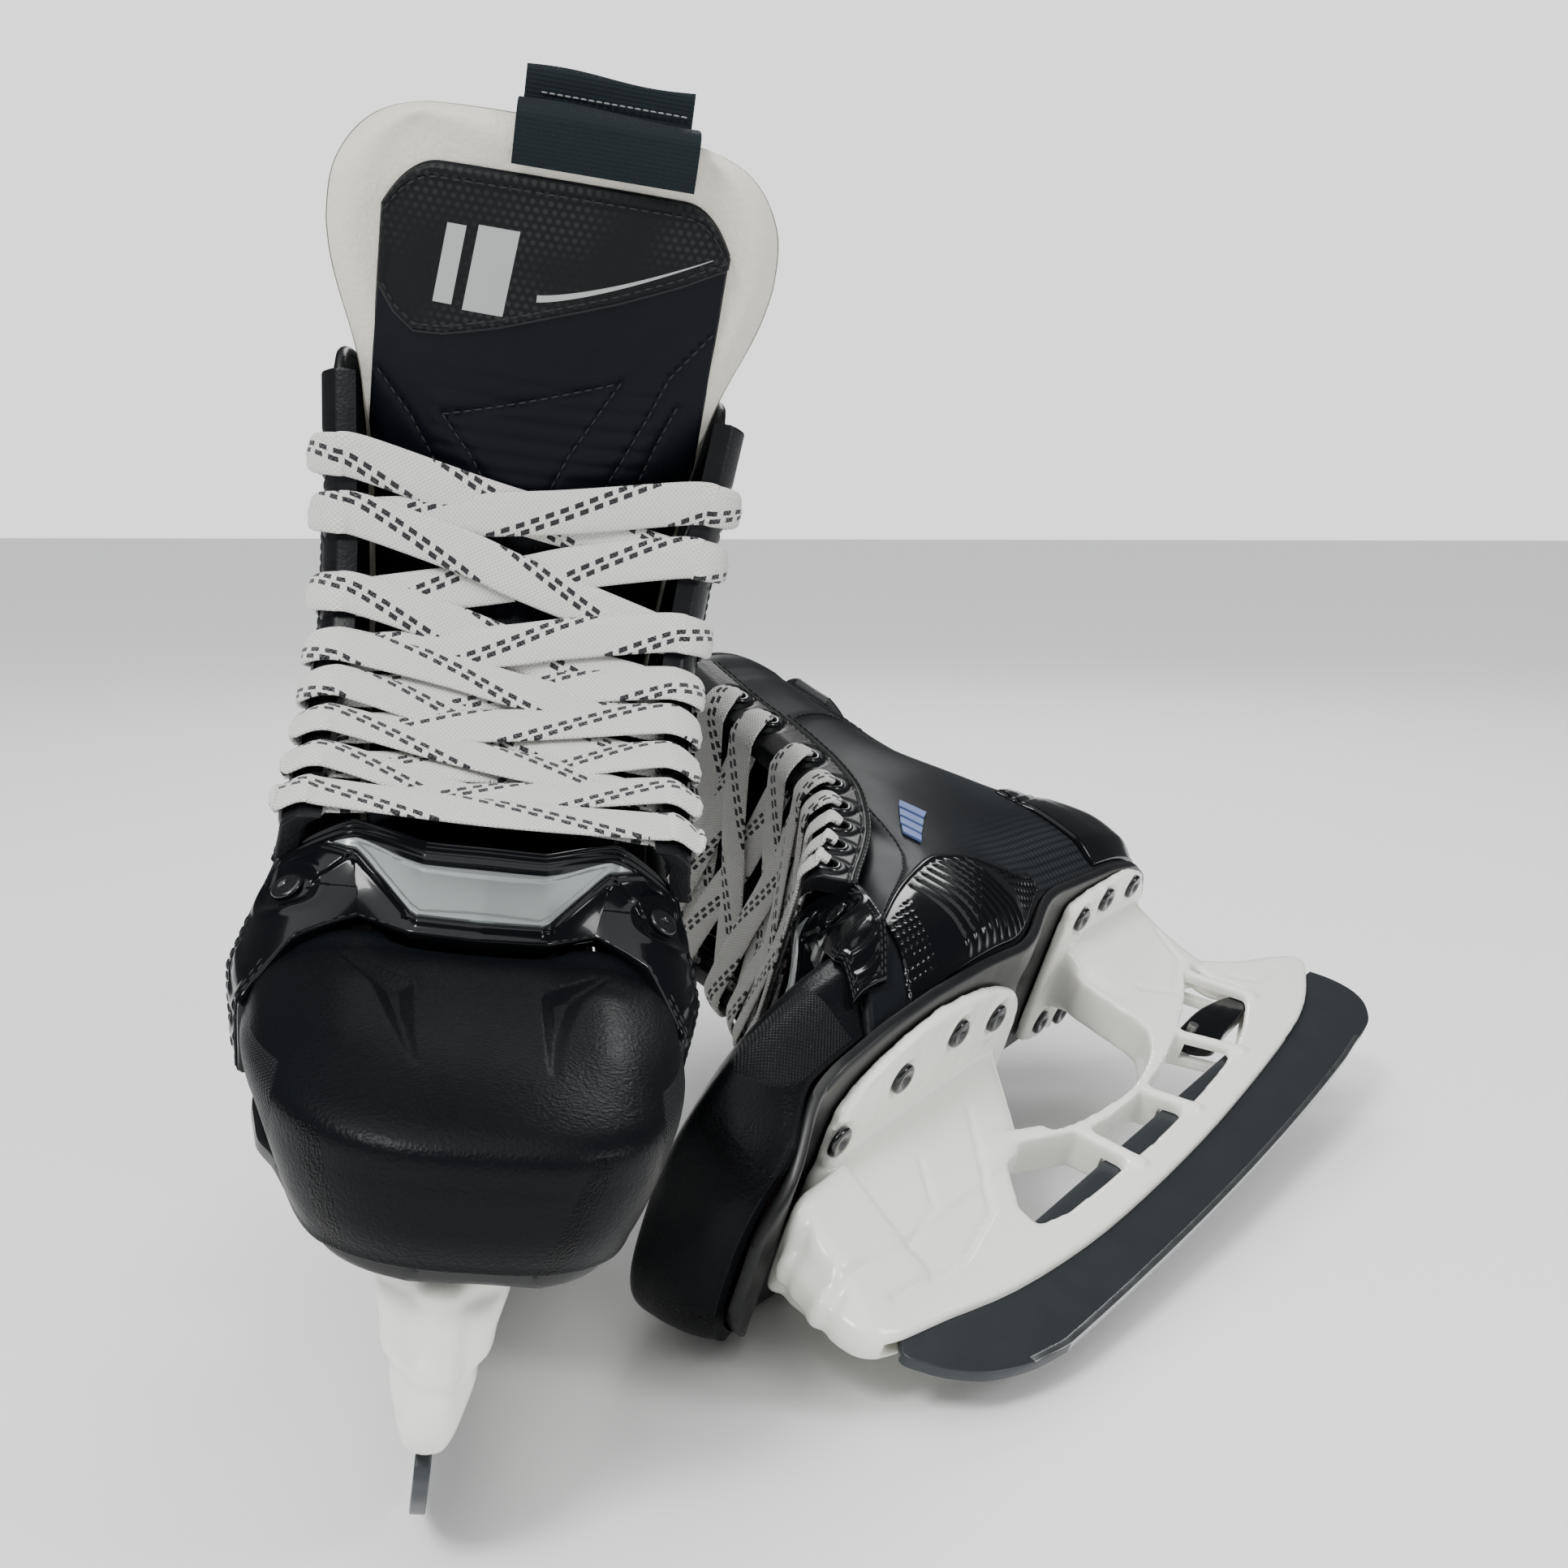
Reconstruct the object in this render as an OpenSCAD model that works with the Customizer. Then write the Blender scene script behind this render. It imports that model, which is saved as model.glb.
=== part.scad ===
// A pair of ice hockey skates. The right skate stands on its runner and leans a little towards
// the left skate, which lies on the inner side of its boot. Millimetres, +Z up.
//
// Every piece is drawn once in the frame of one skate: x points to the toe, y to the outer side
// of the foot, z up, with z = 0 at the middle of the runner's ground edge. The two placing
// modules at the end put it on the right and on the left skate.

/* [Runner] */
// Thickness of the steel runner
runner_t = 3; // [2.8:0.1:3.2]
// Radius of the long rocker curve ground into the runner
rocker_r = 2000; // [1800:50:2600]
// Clearance between the runner and each wall of its slot
slot_gap = 0.25; // [0.1:0.05:0.4]

/* [Holder] */
// Width of the rail that grips the runner
rail_w = 8.6; // [8:0.2:10]
// Width of the arch between the two towers
arch_w = 13; // [12:0.5:15]
// Thickness of the flanges under the sole
flange_t = 3.5; // [3:0.1:4]
// Radius of a rivet head
rivet_head_r = 4.2; // [3.8:0.1:4.6]

/* [Boot] */
// Height of the heel of the sole above that of the ball of the foot
heel_lift = 15.5; // [13:0.5:17]
// Thickness of the outsole
outsole_t = 3.5; // [3:0.1:4]
// Thickness of the composite boot shell
shell_t = 2.2; // [1.8:0.1:2.4]
// Thickness of the plastic toe cap
cap_t = 3; // [2.5:0.1:3.5]
// Thickness of the foam and lining inside the collar
pad_t = 6.5; // [5:0.5:7]

/* [Tongue] */
// Thickness of the felt in the upper tongue
felt_t = 12; // [10:0.5:13]
// Width of the woven label on top of the tongue
label_w = 42; // [34:1:44]

/* [Lace] */
// Width of the flat lace
lace_w = 9.8; // [8:0.2:10.4]
// Thickness of the flat lace
lace_t = 1.4; // [1:0.1:1.6]

/* [Placing] */
// Sideways lean of the standing skate in degrees
stand_lean = 7.5; // [5:0.5:9]
// Roll of the lying skate onto its inner side in degrees
lie_roll = 68.1; // [66:0.1:70]

/* [Hidden] */
$fn = 48;

// ---- Small maths -------------------------------------------------------------------------

function lerp(a, b, t) = a + (b - a) * t;
function clamp01(t) = min(1, max(0, t));
function smooth(t) = let (c = clamp01(t)) c * c * (3 - 2 * c);
function unit(v) = v / norm(v);
function steps(a, b, n) = [for (i = [0 : n]) lerp(a, b, i / n)];

// Value number i of a list that is mirrored about its first value. sign is 1 for an even
// quantity and -1 for an odd one, which changes sign across the middle plane.
function held(list, i, sign) =
    i < 0 ? sign * list[-i] : list[min(i, len(list) - 1)];

// Smooth curve through the values of a list, at the place t counted in list steps
function curve(list, t, sign = 1) =
    let (last = len(list) - 2, i = max(0, min(last, floor(t))), f = t - i,
         a = held(list, i - 1, sign), b = held(list, i, sign),
         c = held(list, i + 1, sign), d = held(list, i + 2, sign))
    0.5 * (2 * b + (c - a) * f + (2 * a - 5 * b + 4 * c - d) * f * f
        + (3 * b - a - 3 * c + d) * f * f * f);

// Value at x from a table of [x, value, value ...] rows, joined by straight lines
function table(rows, x, k = 0) =
    x <= rows[k + 1][0] || k >= len(rows) - 2
        ? let (a = rows[k], b = rows[k + 1]) lerp(a, b, clamp01((x - a[0]) / (b[0] - a[0])))
        : table(rows, x, k + 1);

// Closed solid between two grids of points that have the same rows and columns
module sheet(front, back) {
    rows = len(front);
    cols = len(front[0]);
    size = rows * cols;
    points = concat([for (r = front) each r], [for (r = back) each r]);
    front_faces = [for (i = [0 : rows - 2], j = [0 : cols - 2])
        let (a = i * cols + j, b = a + 1, c = a + cols, d = c + 1) each [[a, c, d], [a, d, b]]];
    back_faces = [for (f = front_faces) [f[2] + size, f[1] + size, f[0] + size]];
    rim = concat(
        [for (j = [0 : cols - 2]) [j, j + 1]],
        [for (i = [0 : rows - 2]) [(i + 1) * cols - 1, (i + 2) * cols - 1]],
        [for (j = [cols - 1 : -1 : 1]) [(rows - 1) * cols + j, (rows - 1) * cols + j - 1]],
        [for (i = [rows - 1 : -1 : 1]) [i * cols, (i - 1) * cols]]);
    rim_faces = [for (e = rim)
        each [[e[0], e[1], e[1] + size], [e[0], e[1] + size, e[0] + size]]];
    polyhedron(points, concat(front_faces, back_faces, rim_faces), convexity = 10);
}

// Rounded polygon outline drawn in x and z, and extruded by width about y = 0
module upright(width) {
    rotate([90, 0, 0]) linear_extrude(width, center = true) children();
}

// ---- Sole --------------------------------------------------------------------------------

toe_drop_start = 114;
toe_drop_end = 136;
toe_drop = 8.5;
ball_sole_z = 75;
ball_slope = 0.019;
heel_sole_front = -42;
waist_front = 20;

// Height of the underside of the sole
function sole_z(x) =
    ball_sole_z - ball_slope * max(0, x - 25)
    + heel_lift * smooth((waist_front - x) / (waist_front - heel_sole_front))
    - toe_drop * smooth((x - toe_drop_start) / (toe_drop_end - toe_drop_start));

// Plan of the sole: x, outer half width, inner half width
sole_plan = [
    [-122, 0.5, 0.5], [-120, 9, 9], [-114, 17, 17], [-102, 24, 24], [-80, 28.5, 28],
    [-50, 31, 29], [-20, 33.5, 29], [10, 37, 31], [40, 40.5, 35], [68, 41.5, 37],
    [90, 40, 37], [110, 36, 35.5], [122, 29, 32.5], [132, 20, 27], [138, 12, 21], [141, 4, 15]];
outsole_edge = 1;

// Closed plate that follows the sole between two heights above its underside
module sole_plate(inset, low, high, from_x = -121, to_x = 140.8, n = 22) {
    stations = [for (k = [0 : n]) let (f = k / n) lerp(from_x, to_x, f - 0.06 * sin(360 * f))];
    function edge(x, side) =
        let (p = table(sole_plan, x), mid = (p[1] - p[2]) / 2, half = (p[1] + p[2]) / 2)
        mid + side * max(1, half - inset);
    function row(x, side) =
        [for (f = steps(-1, 1, 2)) [x, lerp(edge(x, -1), edge(x, 1), (f + 1) / 2),
            sole_z(x) + (side > 0 ? high : low)]];
    sheet([for (x = stations) row(x, -1)], [for (x = stations) row(x, 1)]);
}

module outsole() {
    color([0.03, 0.035, 0.04]) sole_plate(-outsole_edge, 0, outsole_t);
}

board_t = 2.5;
module insole_board() {
    color([0.25, 0.2, 0.14])
        sole_plate(shell_t + 4.5, outsole_t + 0.4, outsole_t + board_t, -113, 128);
}

footbed_t = 5;
module footbed() {
    color([0.12, 0.13, 0.15])
        sole_plate(shell_t + 6, outsole_t + board_t + 0.4, outsole_t + board_t + footbed_t,
            -110, 122);
}

// ---- Boot shell --------------------------------------------------------------------------

// The shell is ruled between a bottom line and a top line. Both are counted in steps from the
// middle of the heel, step 0, to the edge of the toe cap, step 8.
bottom_x = [-121, -114, -94, -64, -32, 4, 37, 66, 93.5];
top_x = [-106, -98, -78, -46, -17, -14, -2, 31, 70];
top_z = [207, 211, 224, 232, 229, 197, 153, 129, 104];
shell_bottom = outsole_t + 0.2;

// How far the heel swells behind the straight line, and how each step shares it
heel_swell = [0, -5.5, -9.5, -5.5, 2.5, 3.5, 0];
heel_share = [1, 0.85, 0.35, 0.05, 0, 0, 0, 0, 0];

// Half widths on the outer side: a row for each step from the heel, read from sole to top
width_net = [
    [0, 0, 0, 0, 0, 0, 0],
    [17, 21, 22.5, 20, 18, 19, 20],
    [26, 30.5, 32, 29.5, 27, 28.5, 32],
    [30, 35.5, 39, 40.5, 39.5, 42, 47],
    [33, 38.5, 42, 43, 42, 44.5, 50],
    [36, 41.5, 44.5, 44, 42.5, 42.5, 43.5],
    [40, 45.5, 48, 46.5, 43.5, 41, 38.5],
    [39, 42.3, 46, 47.8, 45.5, 42, 36.5],
    [37, 38.5, 41.5, 43.5, 43, 41, 37]];
width_rows = [0, 0.08, 0.2, 0.4, 0.6, 0.8, 1];
inner_share = 0.95;
rows_in_net = len(width_rows) - 1;

// Place v between sole and top, counted in rows of the net
function net_row(v, k = 0) =
    v <= width_rows[k + 1] || k >= rows_in_net - 1
        ? k + (v - width_rows[k]) / (width_rows[k + 1] - width_rows[k]) : net_row(v, k + 1);

// Point on the outside of the shell. s runs from -8 on the inner side, through the heel, to
// 8 on the outer side, and v from 0 at the sole to 1 at the top.
function shell_surface(s, v) =
    let (a = abs(s), row = net_row(v),
         bx = curve(bottom_x, a), tx = curve(top_x, a),
         x = lerp(bx, tx, v) + curve(heel_swell, row) * curve(heel_share, a),
         z = lerp(sole_z(bx) + shell_bottom, curve(top_z, a), v),
         across = curve([for (column = width_net) curve(column, row)], a, -1))
    [x, across * (s < 0 ? -inner_share : 1), z];

// The same point moved along the outward normal
function shell_point(s, v, out = 0) =
    let (d = 0.02, p = shell_surface(s, v),
         along = shell_surface(s + d, v) - shell_surface(s - d, v),
         up = shell_surface(s, min(1, v + d)) - shell_surface(s, max(0, v - d)))
    p - unit(cross(along, up)) * out;

// Panel on the shell between steps s0 and s1. low(s) and high(s) come in as lists of v.
module shell_panel(s0, s1, low, high, near, far, cols, rows) {
    places = steps(s0, s1, cols);
    function grid(out) = [for (i = [0 : rows]) [for (j = [0 : cols])
        shell_point(places[j],
            lerp(curve(low, j * (len(low) - 1) / cols), curve(high, j * (len(high) - 1) / cols),
                i / rows), out)]];
    sheet(grid(near), grid(far));
}

module boot_shell() {
    color([0.12, 0.13, 0.14])
        shell_panel(-7.95, 7.95, [0, 0], [1, 1], -shell_t, 0, 36, 8);
}

// Foam and lining inside the heel, the ankle and the collar
pad_gap = 1.2;
module collar_pad() {
    color([0.07, 0.08, 0.09])
        shell_panel(-3.3, 3.3, [0.18, 0.18], [1.01, 1.01],
            -shell_t - pad_gap - pad_t, -shell_t - pad_gap, 18, 6);
}

// Overlays on the shell sit this far off it
skin_gap = 0.5;
module heel_counter() {
    color([0.02, 0.02, 0.025])
        shell_panel(-2.7, 2.7, [0.01, 0.01, 0.01], [0.3, 0.4, 0.44, 0.4, 0.3],
            skin_gap, 1.6, 16, 4);
}

module side_panel_outer() {
    color([0.03, 0.035, 0.04])
        shell_panel(4.1, 7.3, [0.015, 0.015], [0.06, 0.3, 0.5, 0.52], skin_gap, 1.4, 12, 4);
}

module side_panel_inner() {
    color([0.03, 0.035, 0.04])
        shell_panel(-7.3, -4.1, [0.015, 0.015], [0.52, 0.5, 0.3, 0.06], skin_gap, 1.4, 12, 4);
}

// ---- Toe cap -----------------------------------------------------------------------------

// Level lines of the cap from its rim to the middle of its top: height, front end, half width
cap_levels = [
    [0, 144.5, 39.5], [6, 148.5, 41.8], [12, 149.5, 44.3], [17, 147.5, 45.5], [20.5, 139, 45],
    [24.5, 124, 43.5], [28, 104, 39], [30.3, 87, 31], [31, 73, 20]];
cap_centre_x = 64;
cap_power = 2.9;
cap_lean = 6;
cap_base_z = sole_z(120) + outsole_t;

// The rim follows the dropping toe of the sole, and the levels above even out to flat
function cap_z(x, height) =
    lerp(sole_z(x) + outsole_t + 0.7, cap_base_z, smooth(height / 22)) + height;

// Point on the cap: level counted in steps, and turn from -1 at the inner rear edge, through
// the toe, to 1 at the outer one
function cap_surface(level, turn) =
    let (height = curve([for (l = cap_levels) l[0]], level),
         front = curve([for (l = cap_levels) l[1]], level),
         half = curve([for (l = cap_levels) l[2]], level) * (turn < 0 ? inner_share : 1),
         rear = 95.5 - 0.8 * height,
         reach = front - cap_centre_x,
         end_angle = acos(pow(clamp01((rear - cap_centre_x) / reach), cap_power / 2)),
         angle = abs(turn) * end_angle,
         x = cap_centre_x + reach * pow(cos(angle), 2 / cap_power),
         y = half * pow(sin(angle), 2 / cap_power) * sign(turn)
             - cap_lean * pow(max(0, x - cap_centre_x) / 86, 2))
    [x, y, cap_z(x, height)];

// Cap pulled towards a point inside the toe box, which makes its inner face
function cap_inside(level, turn, depth) =
    let (p = cap_surface(level, turn), core = [cap_centre_x - 4, 0, cap_base_z - 6])
    p + unit([core[0] - p[0], core[1] - p[1], min(-4, core[2] - p[2] + 8)]) * depth;

module cap_shell(near, far, cols, rows, first = 0, last = 8) {
    function grid(depth) = [for (i = [0 : rows]) [for (j = [0 : cols])
        cap_inside(lerp(first, last, i / rows), 2 * j / cols - 1, depth)]];
    sheet(grid(near), grid(far));
}

module toe_cap() {
    color([0.06, 0.065, 0.07]) cap_shell(0, cap_t, 22, 10);
}

module toe_liner() {
    color([0.3, 0.3, 0.3]) cap_shell(cap_t + 0.5, cap_t + 2.5, 14, 6, 0.6, 7);
}

// ---- Facemask ----------------------------------------------------------------------------

// Front and rear edges on one side, from the middle of the instep to the sole
mask_front = [[73, 0, 107.2], [71, 14, 107.2], [62, 25.5, 108.6], [71, 37, 104.5],
    [84, 43.5, 95], [94, 41, 84]];
mask_rear = [[48, 0, 122.3], [48, 14, 122.3], [49.5, 30, 127], [44, 43.5, 116], [63, 49, 97],
    [80, 44, 84]];
mask_t = 2.4;

function mask_surface(u, w) =
    let (a = abs(u), p = lerp(curve(mask_front, a), curve(mask_rear, a), w))
    [p[0], p[1] * (u < 0 ? -inner_share : 1), p[2] + 1.2 * sin(180 * w)];
mask_gap = 0.5;
function mask_point(u, w, out) =
    let (d = 0.02, p = mask_surface(u, w),
         along = mask_surface(u + d, w) - mask_surface(u - d, w),
         up = mask_surface(u, w + d) - mask_surface(u, w - d))
    p + unit(cross(along, up)) * (out + mask_gap);

module facemask() {
    function grid(out) = [for (i = [0 : 4]) [for (j = [0 : 22])
        mask_point(lerp(-5, 5, j / 22), i / 4, out)]];
    color([0.01, 0.01, 0.012]) sheet(grid(mask_t), grid(0));
}

// Plain plate in the middle of the facemask
module facemask_plate() {
    half = [0.35, 0.85, 1.15, 1.5, 1.95];
    function grid(out) = [for (i = [0 : 4]) [for (j = [0 : 10])
        mask_point(half[i] * lerp(-1, 1, j / 10), 0.16 + 0.15 * i, out)]];
    color([0.6, 0.62, 0.61]) sheet(grid(mask_t + 1), grid(mask_t + 0.2));
}

mask_rivet_r = 4.4;
module facemask_rivets() {
    color([0.05, 0.05, 0.055])
        for (side = [-1, 1]) {
            seat = mask_point(side * 3, 0.5, mask_t + 0.25);
            across = mask_point(side * 3, 0.5, mask_t + 1) - seat;
            translate(seat)
                rotate([0, acos(across[2] / norm(across)), atan2(across[1], across[0])])
                    cylinder(h = 1.2, r = mask_rivet_r);
        }
}

// ---- Eyestays and eyelets ----------------------------------------------------------------

// Eyelet centres from the toe to the top, with the ends of the eyestay before and after them
eyelet_line = [[51.5, 43.5, 124.3], [44.5, 43.2, 128], [32.5, 43, 133.8], [21, 43, 140.2],
    [11, 43.3, 147.8], [1.8, 44, 157.3], [-5, 45, 171.8], [-9.3, 46.8, 192], [-10, 48.5, 206],
    [-12, 52.5, 223]];
eyelet_count = 8;
stay_back = 9.5;
stay_t = 1.8;
eyelet_r = 2.7;

function stay_place(k) =
    [curve([for (p = eyelet_line) p[0]], k), curve([for (p = eyelet_line) p[1]], k),
     curve([for (p = eyelet_line) p[2]], k)];

// Direction up the row of eyelets, and the direction in the side view that points out of the
// boot, towards the laces
function stay_up(k) =
    let (d = stay_place(min(9, k + 0.1)) - stay_place(max(0, k - 0.1))) unit([d[0], 0, d[2]]);
function stay_out(k) = let (u = stay_up(k)) [u[2], 0, -u[0]];

// How far the eyestay reaches in front of the eyelets
function stay_front(k) = lerp(4.5, 8, smooth((k - 1) / 4));

// Point on the eyestay: w is -1 at its rear edge, 0 on the eyelets and 1 at its front edge
function stay_point(k, w, out) =
    let (p = stay_place(k), reach = w > 0 ? stay_front(k) : stay_back)
    p + stay_out(k) * w * reach
      + [0, out - (w > 0 ? 4 * w * w : 0.8 * w * (1 + w) - (k < 7 ? 1.6 * w * w : 0)), 0];

module eyestay() {
    function grid(out) = [for (i = [0 : 4]) [for (j = [0 : 18])
        stay_point(9 * j / 18, -1 + 2 * i / 4, out)]];
    difference() {
        sheet(grid(stay_t), grid(0));
        for (k = [1 : eyelet_count])
            translate(stay_place(k)) rotate([90, 0, 0])
                cylinder(h = 12, r = eyelet_r + 0.6, center = true);
    }
}

module eyestay_outer() {
    color([0.03, 0.03, 0.035]) eyestay();
}

module eyestay_inner() {
    color([0.03, 0.03, 0.035]) mirror([0, 1, 0]) eyestay();
}

module eyelets() {
    color([0.1, 0.1, 0.11])
        for (side = [0, 1], k = [1 : eyelet_count])
            mirror([0, side, 0]) translate(stay_place(k) + [0, 0.9, 0])
                rotate([90, 0, 0])
                    difference() {
                        union() {
                            cylinder(h = 3, r = eyelet_r + 0.5, center = true);
                            translate([0, 0, -1.6]) cylinder(h = 0.5, r = eyelet_r + 1.6);
                        }
                        cylinder(h = 8, r = eyelet_r, center = true);
                    }
}

// ---- Tendon guard ------------------------------------------------------------------------

guard_low = 210.5;
guard_high = 252;
guard_t = 4.5;
guard_reach = 52;

function guard_point(turn, rise, out) =
    let (a = turn * guard_reach, low = guard_low + 11 * turn * turn,
         high = guard_high - 14 * pow(abs(turn), 3),
         z = lerp(low, high, rise), back = 4 * smooth((z - 215) / 40))
    [-76 - back - (29.5 + out) * cos(a), (30.5 + out) * sin(a), z];

module tendon_guard() {
    function grid(out) = [for (i = [0 : 6]) [for (j = [0 : 12])
        guard_point(j / 6 - 1, i / 6, out)]];
    color([0.02, 0.02, 0.025]) sheet(grid(0), grid(guard_t));
}

// ---- Tongue ------------------------------------------------------------------------------

// Front face of the tongue in the middle plane from its root to its top, with the half width
// and how far the sides curl back
tongue_line = [
    [60, 106.5, 24, 2], [49, 116.5, 27, 3], [39, 126.5, 29, 4], [28, 136.5, 31, 5],
    [17, 144.5, 32, 7], [7.5, 152.5, 33, 8], [0, 162, 34.5, 9], [-5, 174, 36, 10],
    [-7.5, 188, 38, 11], [-7, 202, 40, 11], [-3, 215, 42.5, 10], [2.5, 229, 45.5, 9],
    [8, 243, 49, 8], [13, 257, 51.5, 7], [18, 271, 51.5, 6.5], [23, 286, 43, 6]];
tongue_split = 9.6;
tongue_top = 15;
base_t = 8;

function tongue_value(k, t) = curve([for (p = tongue_line) p[k]], t);

// Point on the tongue: t counts up its line, u runs across it from -1 to 1, deep is the
// distance behind its front face
function tongue_point(t, u, deep, half) =
    let (a = max(0, t - 0.1), b = min(tongue_top, t + 0.1),
         up = unit([tongue_value(0, b) - tongue_value(0, a), 0,
                    tongue_value(1, b) - tongue_value(1, a)]),
         back = [-up[2], 0, up[0]], curl = tongue_value(3, t))
    [tongue_value(0, t), half * u, tongue_value(1, t)]
        + back * (deep + curl * pow(half * u / tongue_value(2, t), 2));

module tongue_layer(t0, t1, near, far, widest, cols, rows) {
    function grid(deep) = [for (i = [0 : rows]) [for (j = [0 : cols])
        let (t = lerp(t0, t1, i / rows))
        tongue_point(t, 2 * j / cols - 1, deep, min(widest, tongue_value(2, t)))]];
    sheet(grid(near), grid(far));
}

module tongue_base() {
    color([0.04, 0.045, 0.055]) tongue_layer(0, tongue_split, 0, base_t, 40, 8, 14);
}

face_t = 2;
face_half = 40.5;
module tongue_felt() {
    color([0.88, 0.87, 0.81])
        tongue_layer(tongue_split + 0.12, tongue_top, face_t + 0.1, face_t + felt_t, 60, 12, 10);
}

module tongue_face() {
    color([0.04, 0.045, 0.06])
        tongue_layer(tongue_split + 0.12, 14.25, 0.9, face_t, face_half, 10, 8);
}

module tongue_panel() {
    color([0.14, 0.14, 0.15]) tongue_layer(11.6, 14.1, 0, 0.8, face_half - 2, 10, 5);
}

// Woven ribbon that wraps over the top of the tongue and stands up behind it as a loop
label_t = 0.9;
label_shift = -9;
module tongue_label() {
    outline = [[19.8, 278], [22.9, 286.4], [22, 288.4], [10.5, 292.8], [9, 301.5], [7.8, 301.5],
        [6.3, 293], [1, 276], [2, 276], [6.7, 291.8], [21.2, 287.6], [21.9, 286.4],
        [19, 278]];
    color([0.05, 0.08, 0.1]) translate([0, label_shift, 0]) upright(label_w) polygon(outline);
}

// ---- Lace --------------------------------------------------------------------------------

// Each strand leaves an eyelet on one side, comes out under the eyestay, crosses the tongue
// and goes over the other eyestay into the next eyelet. over lifts it at the crossing.
function strand(k, side, over) =
    let (a = stay_place(k), b = stay_place(k + 1), m = stay_place(k + 0.5),
         oa = stay_out(k) * stay_front(k), ob = stay_out(k + 1) * stay_front(k + 1),
         om = stay_out(k + 0.5) * stay_front(k + 0.5), lift = stay_out(k + 0.5) * over)
    [
        [a[0], side * (a[1] - 3.5), a[2]],
        [a[0], side * (a[1] - 6), a[2]] + oa * 0.5,
        [a[0], side * (a[1] - 9), a[2]] + oa * 0.85,
        [m[0], side * 14, m[2]] + om * 0.72 + lift * 0.6,
        [m[0], 0, m[2]] + om * 0.66 + lift,
        [m[0], -side * 14, m[2]] + om * 0.86 + lift * 0.6,
        over_eyestay(k + 1, -side)[0],
        over_eyestay(k + 1, -side)[1],
        over_eyestay(k + 1, -side)[2],
        over_eyestay(k + 1, -side)[3],
        over_eyestay(k + 1, -side)[4]
    ];

// End of a strand, from beside the eyestay over its edge and into eyelet k
function over_eyestay(k, side) =
    let (p = stay_place(k), o = stay_out(k), reach = stay_front(k))
    [
        [p[0], side * (p[1] - 8.5), p[2]] + o * (reach + 1.2),
        [p[0], side * (p[1] - 2), p[2]] + o * (reach + 1.7),
        [p[0], side * (p[1] + 3), p[2]] + o * (reach - 1.4),
        [p[0], side * (p[1] + 4.4), p[2]] + o * 3,
        [p[0], side * (p[1] + 3.2), p[2]]
    ];

// The lowest strand lies over both eyestays
function low_strand() =
    let (m = stay_place(0.9) + stay_out(1) * (stay_front(1) + 1) - [0, 43, 0],
         inner = over_eyestay(1, -1), outer = over_eyestay(1, 1))
    concat([for (i = [4 : -1 : 0]) inner[i]], [m], outer);

// Width of the lace, which gathers where it passes through an eyelet
strand_widths = [0.36, 0.55, 0.85, 1, 1, 1, 1, 0.95, 0.85, 0.6, 0.36];
low_widths = [0.36, 0.6, 0.85, 0.95, 1, 1, 1, 0.95, 0.85, 0.6, 0.36];

// Flat band swept along a path. across is the direction of its width.
module band(path, widths, across) {
    last = len(path) - 1;
    function along(i) = unit(path[min(last, i + 1)] - path[max(0, i - 1)]);
    function wide(i) = let (t = along(i)) unit(across - t * (across * t));
    function ring(i) =
        let (w = wide(i) * widths[i] * lace_w / 2,
             n = unit(cross(along(i), w)) * lace_t / 2)
        [path[i] + w + n, path[i] + w - n, path[i] - w - n, path[i] - w + n];
    points = [for (i = [0 : last]) each ring(i)];
    walls = [for (i = [0 : last - 1], j = [0 : 3])
        let (a = 4 * i + j, b = 4 * i + (j + 1) % 4)
        each [[a, b, b + 4], [a, b + 4, a + 4]]];
    ends = [[2, 1, 0], [3, 2, 0],
        [4 * last, 4 * last + 1, 4 * last + 2], [4 * last, 4 * last + 2, 4 * last + 3]];
    polyhedron(points, concat(walls, ends), convexity = 10);
}

// The two halves of the lace change sides at each step, and one lies over the other
module lace() {
    color([0.93, 0.93, 0.91]) {
        for (side = [-1, 1], k = [1 : eyelet_count - 1]) {
            turned = side * (k % 2 == 1 ? 1 : -1);
            band(strand(k, turned, turned * (k % 2 == 1 ? 1.1 : -1.1)), strand_widths,
                stay_up(k + 0.5));
        }
        band(low_strand(), low_widths, stay_up(1));
    }
}

// ---- Holder ------------------------------------------------------------------------------

rail_low = [[139, 31], [117, 25], [95, 19.5], [65, 15.8], [33, 14.6], [-8, 15], [-49, 17],
    [-94, 20.5], [-118, 24.5], [-137, 31]];
front_flange = [[14, 16], [20, 27], [36, 34.5], [55, 38], [75, 38.5], [95, 34], [106, 28],
    [110, 20], [110, -20], [106, -29], [95, -34], [75, -35.5], [55, -34.5], [36, -31], [20, -25],
    [14, -14]];
rear_flange = [[-45, 20], [-51, 27], [-70, 28], [-90, 27.5], [-103, 21], [-109, 10],
    [-109, -10], [-103, -21], [-90, -27], [-70, -27], [-51, -26], [-45, -20]];
front_rivets = [[108, 17.5], [83, 25.5], [56, 28.5], [32, 24]];
rear_rivets = [[-54.5, 20], [-71, 22.5], [-92, 21.5]];
flange_tilt = atan(ball_slope);
sole_gap = 0.35;

// Puts flat work on the sloping underside of the ball of the sole, with its top at height 0
module under_ball() {
    translate([25, 0, ball_sole_z - sole_gap]) rotate([0, flange_tilt, 0]) translate([-25, 0, 0])
        children();
}

module under_heel() {
    translate([0, 0, ball_sole_z + heel_lift - sole_gap]) children();
}

// Solid side view of the rail and its two ends
module rail_outline() {
    polygon(concat(rail_low, [[-145, 35], [-143, 41], [-118, 51], [-102, 60], [-97, 51],
        [-100, 40], [-64, 28.5], [-16, 24.3], [22, 23.6], [72, 27.5], [53, 49], [50, 62],
        [128, 64], [139, 52], [142, 43]]));
}

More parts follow.
